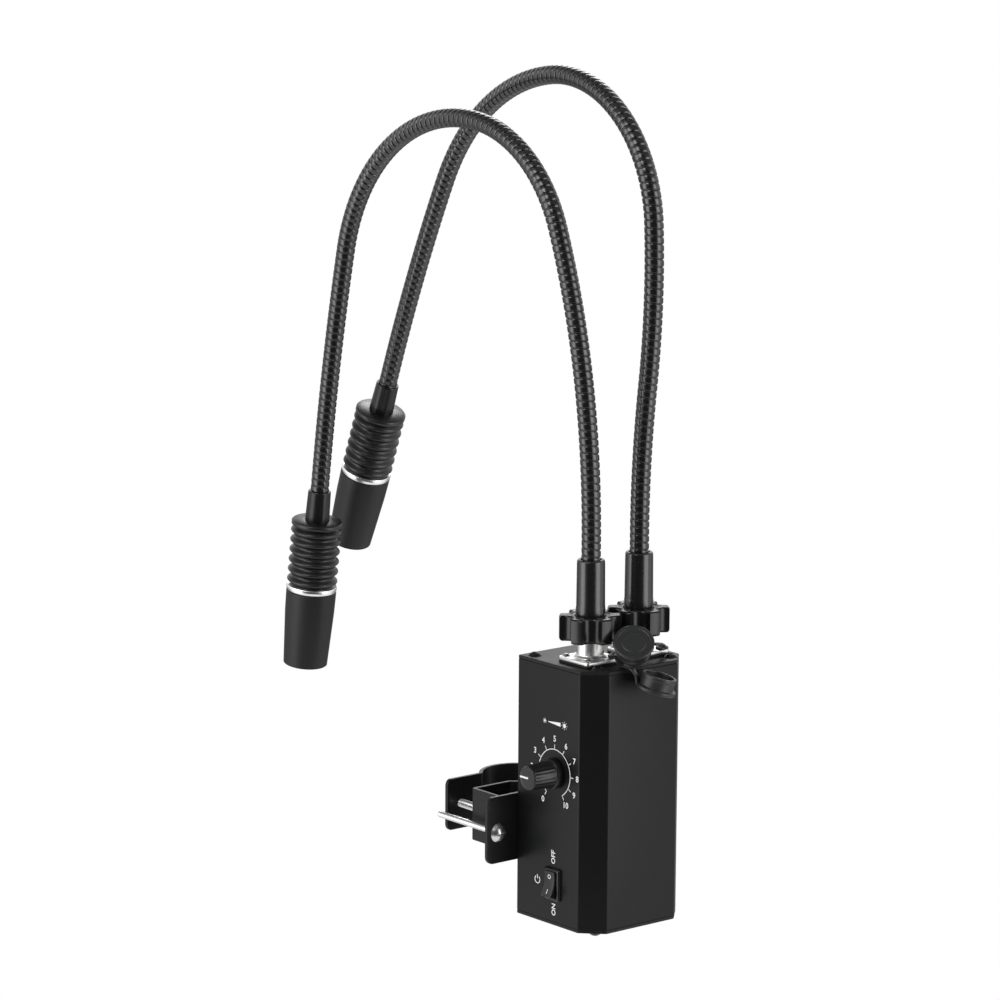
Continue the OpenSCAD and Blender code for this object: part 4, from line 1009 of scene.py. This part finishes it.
def buildFloor():
    half, z = studio["floorSize"], studio["floorZ"]
    corners = np.array([[-half, -half, z], [half, -half, z], [half, half, z], [-half, half, z]]) * mm
    mesh = bpy.data.meshes.new("floor")
    mesh.from_pydata(corners.tolist(), [], [[0, 1, 2, 3]])
    material, tree, shader = newMaterial("paleFloor")
    setSockets(tree, shader, {"Base Color": (0.96, 0.96, 0.96, 1), "Roughness": 0.9})
    ray = addNode(tree, "LightPath").outputs
    direct = addMath(tree, "MAXIMUM", ray["Is Camera Ray"], ray["Is Glossy Ray"])
    direct = addMath(tree, "MAXIMUM", direct, ray["Is Transmission Ray"])
    glow = addNode(tree, "Emission", {"Color": (1, 1, 1, 1)})
    lit = addNode(tree, "MixShader", {"Fac": addMath(tree, "MULTIPLY", direct, studio["floorGlow"]),
        1: shader.outputs["BSDF"], 2: glow.outputs["Emission"]})
    # it fades out towards its edge, and from below it is clear
    where = addNode(tree, "TexCoord").outputs["Object"]
    span = addNode(tree, "VectorMath", {0: where, 1: (0, 0, z * mm)}, "DISTANCE").outputs["Value"]
    fade = addRamp(tree, span, studio["fadeFrom"] * half * mm, studio["fadeTo"] * half * mm)
    gone = addMath(tree, "MAXIMUM", fade, addNode(tree, "NewGeometry").outputs["Backfacing"])
    clear = addNode(tree, "BsdfTransparent")
    cover = addNode(tree, "MixShader", {"Fac": gone, 1: lit.outputs["Shader"], 2: clear.outputs["BSDF"]})
    setSockets(tree, tree.nodes["Material Output"], {"Surface": cover.outputs["Shader"]})
    mesh.materials.append(material)
    addObject("floor", mesh)


# the room is white beside and behind the object, dim overhead, dark behind the camera and low at the back
def buildRoom():
    world = bpy.data.worlds.new("studioWorld")
    bpy.context.scene.world = world
    world.use_nodes = True
    tree = world.node_tree
    where = addNode(tree, "TexCoord").outputs["Generated"]
    towards = (sin(azimuth), -cos(azimuth), 0.0)
    facing = addNode(tree, "VectorMath", {0: where, 1: towards}, "DOT_PRODUCT").outputs["Value"]
    rise = addNode(tree, "SeparateXYZ", {0: where}).outputs["Z"]
    front = addRamp(tree, facing, *pick(studio, "frontWhite frontDark"), 1.0, studio["frontLevel"])
    rear = addRamp(tree, facing, *pick(studio, "rearDark rearWhite"), 1.0 - studio["rearLevel"], 0.0)
    low = addRamp(tree, rise, *pick(studio, "lowFrom lowTo"), 1.0, 0.0)
    ceiling = addRamp(tree, rise, *pick(studio, "ceilingFrom ceilingTo"), 1.0, studio["ceilingLevel"])
    keep = addMath(tree, "SUBTRACT", 1.0, addMath(tree, "MULTIPLY", rear, low))
    room = addMath(tree, "MULTIPLY", addMath(tree, "MULTIPLY", keep, front), ceiling)
    ray = addNode(tree, "LightPath").outputs
    shine = addMath(tree, "MAXIMUM", ray["Is Glossy Ray"], ray["Is Transmission Ray"])
    reflected = addNode(tree, "Mix", {"Factor": shine, "A": studio["fill"], "B": room}).outputs["Result"]
    seen = addNode(tree, "Mix", {"Factor": ray["Is Camera Ray"], "A": reflected, "B": 1.0}).outputs["Result"]
    setSockets(tree, tree.nodes["Background"], {"Color": (1, 1, 1, 1), "Strength": seen})


def softBox(name, at, aim, width, height, power):
    data = bpy.data.lights.new(name, "AREA")
    data.shape, data.size, data.size_y, data.energy = "RECTANGLE", width, height, power
    away = np.subtract(at, (0, 0, aim))
    addObject(name, data).matrix_world = Matrix(placeAt(at, np.cross((0, 0, 1), away), away).tolist())


def buildLights():
    for name, row in boxes.items():
        softBox(name, *row)
    # tall narrow boxes on both sides of the camera, aimed level, leave long streaks on round gloss
    for swing in (-studio["stripLeft"], studio["stripRight"]):
        x, y = studio["stripOut"] * headings(azimuth - pi / 2 + radians(swing))
        softBox("stripBox", (x, y, strip[0]), *strip)


buildFloor()
buildRoom()
buildLights()
bpy.context.scene.view_settings.view_transform = "Standard"
bpy.context.view_layer.update()
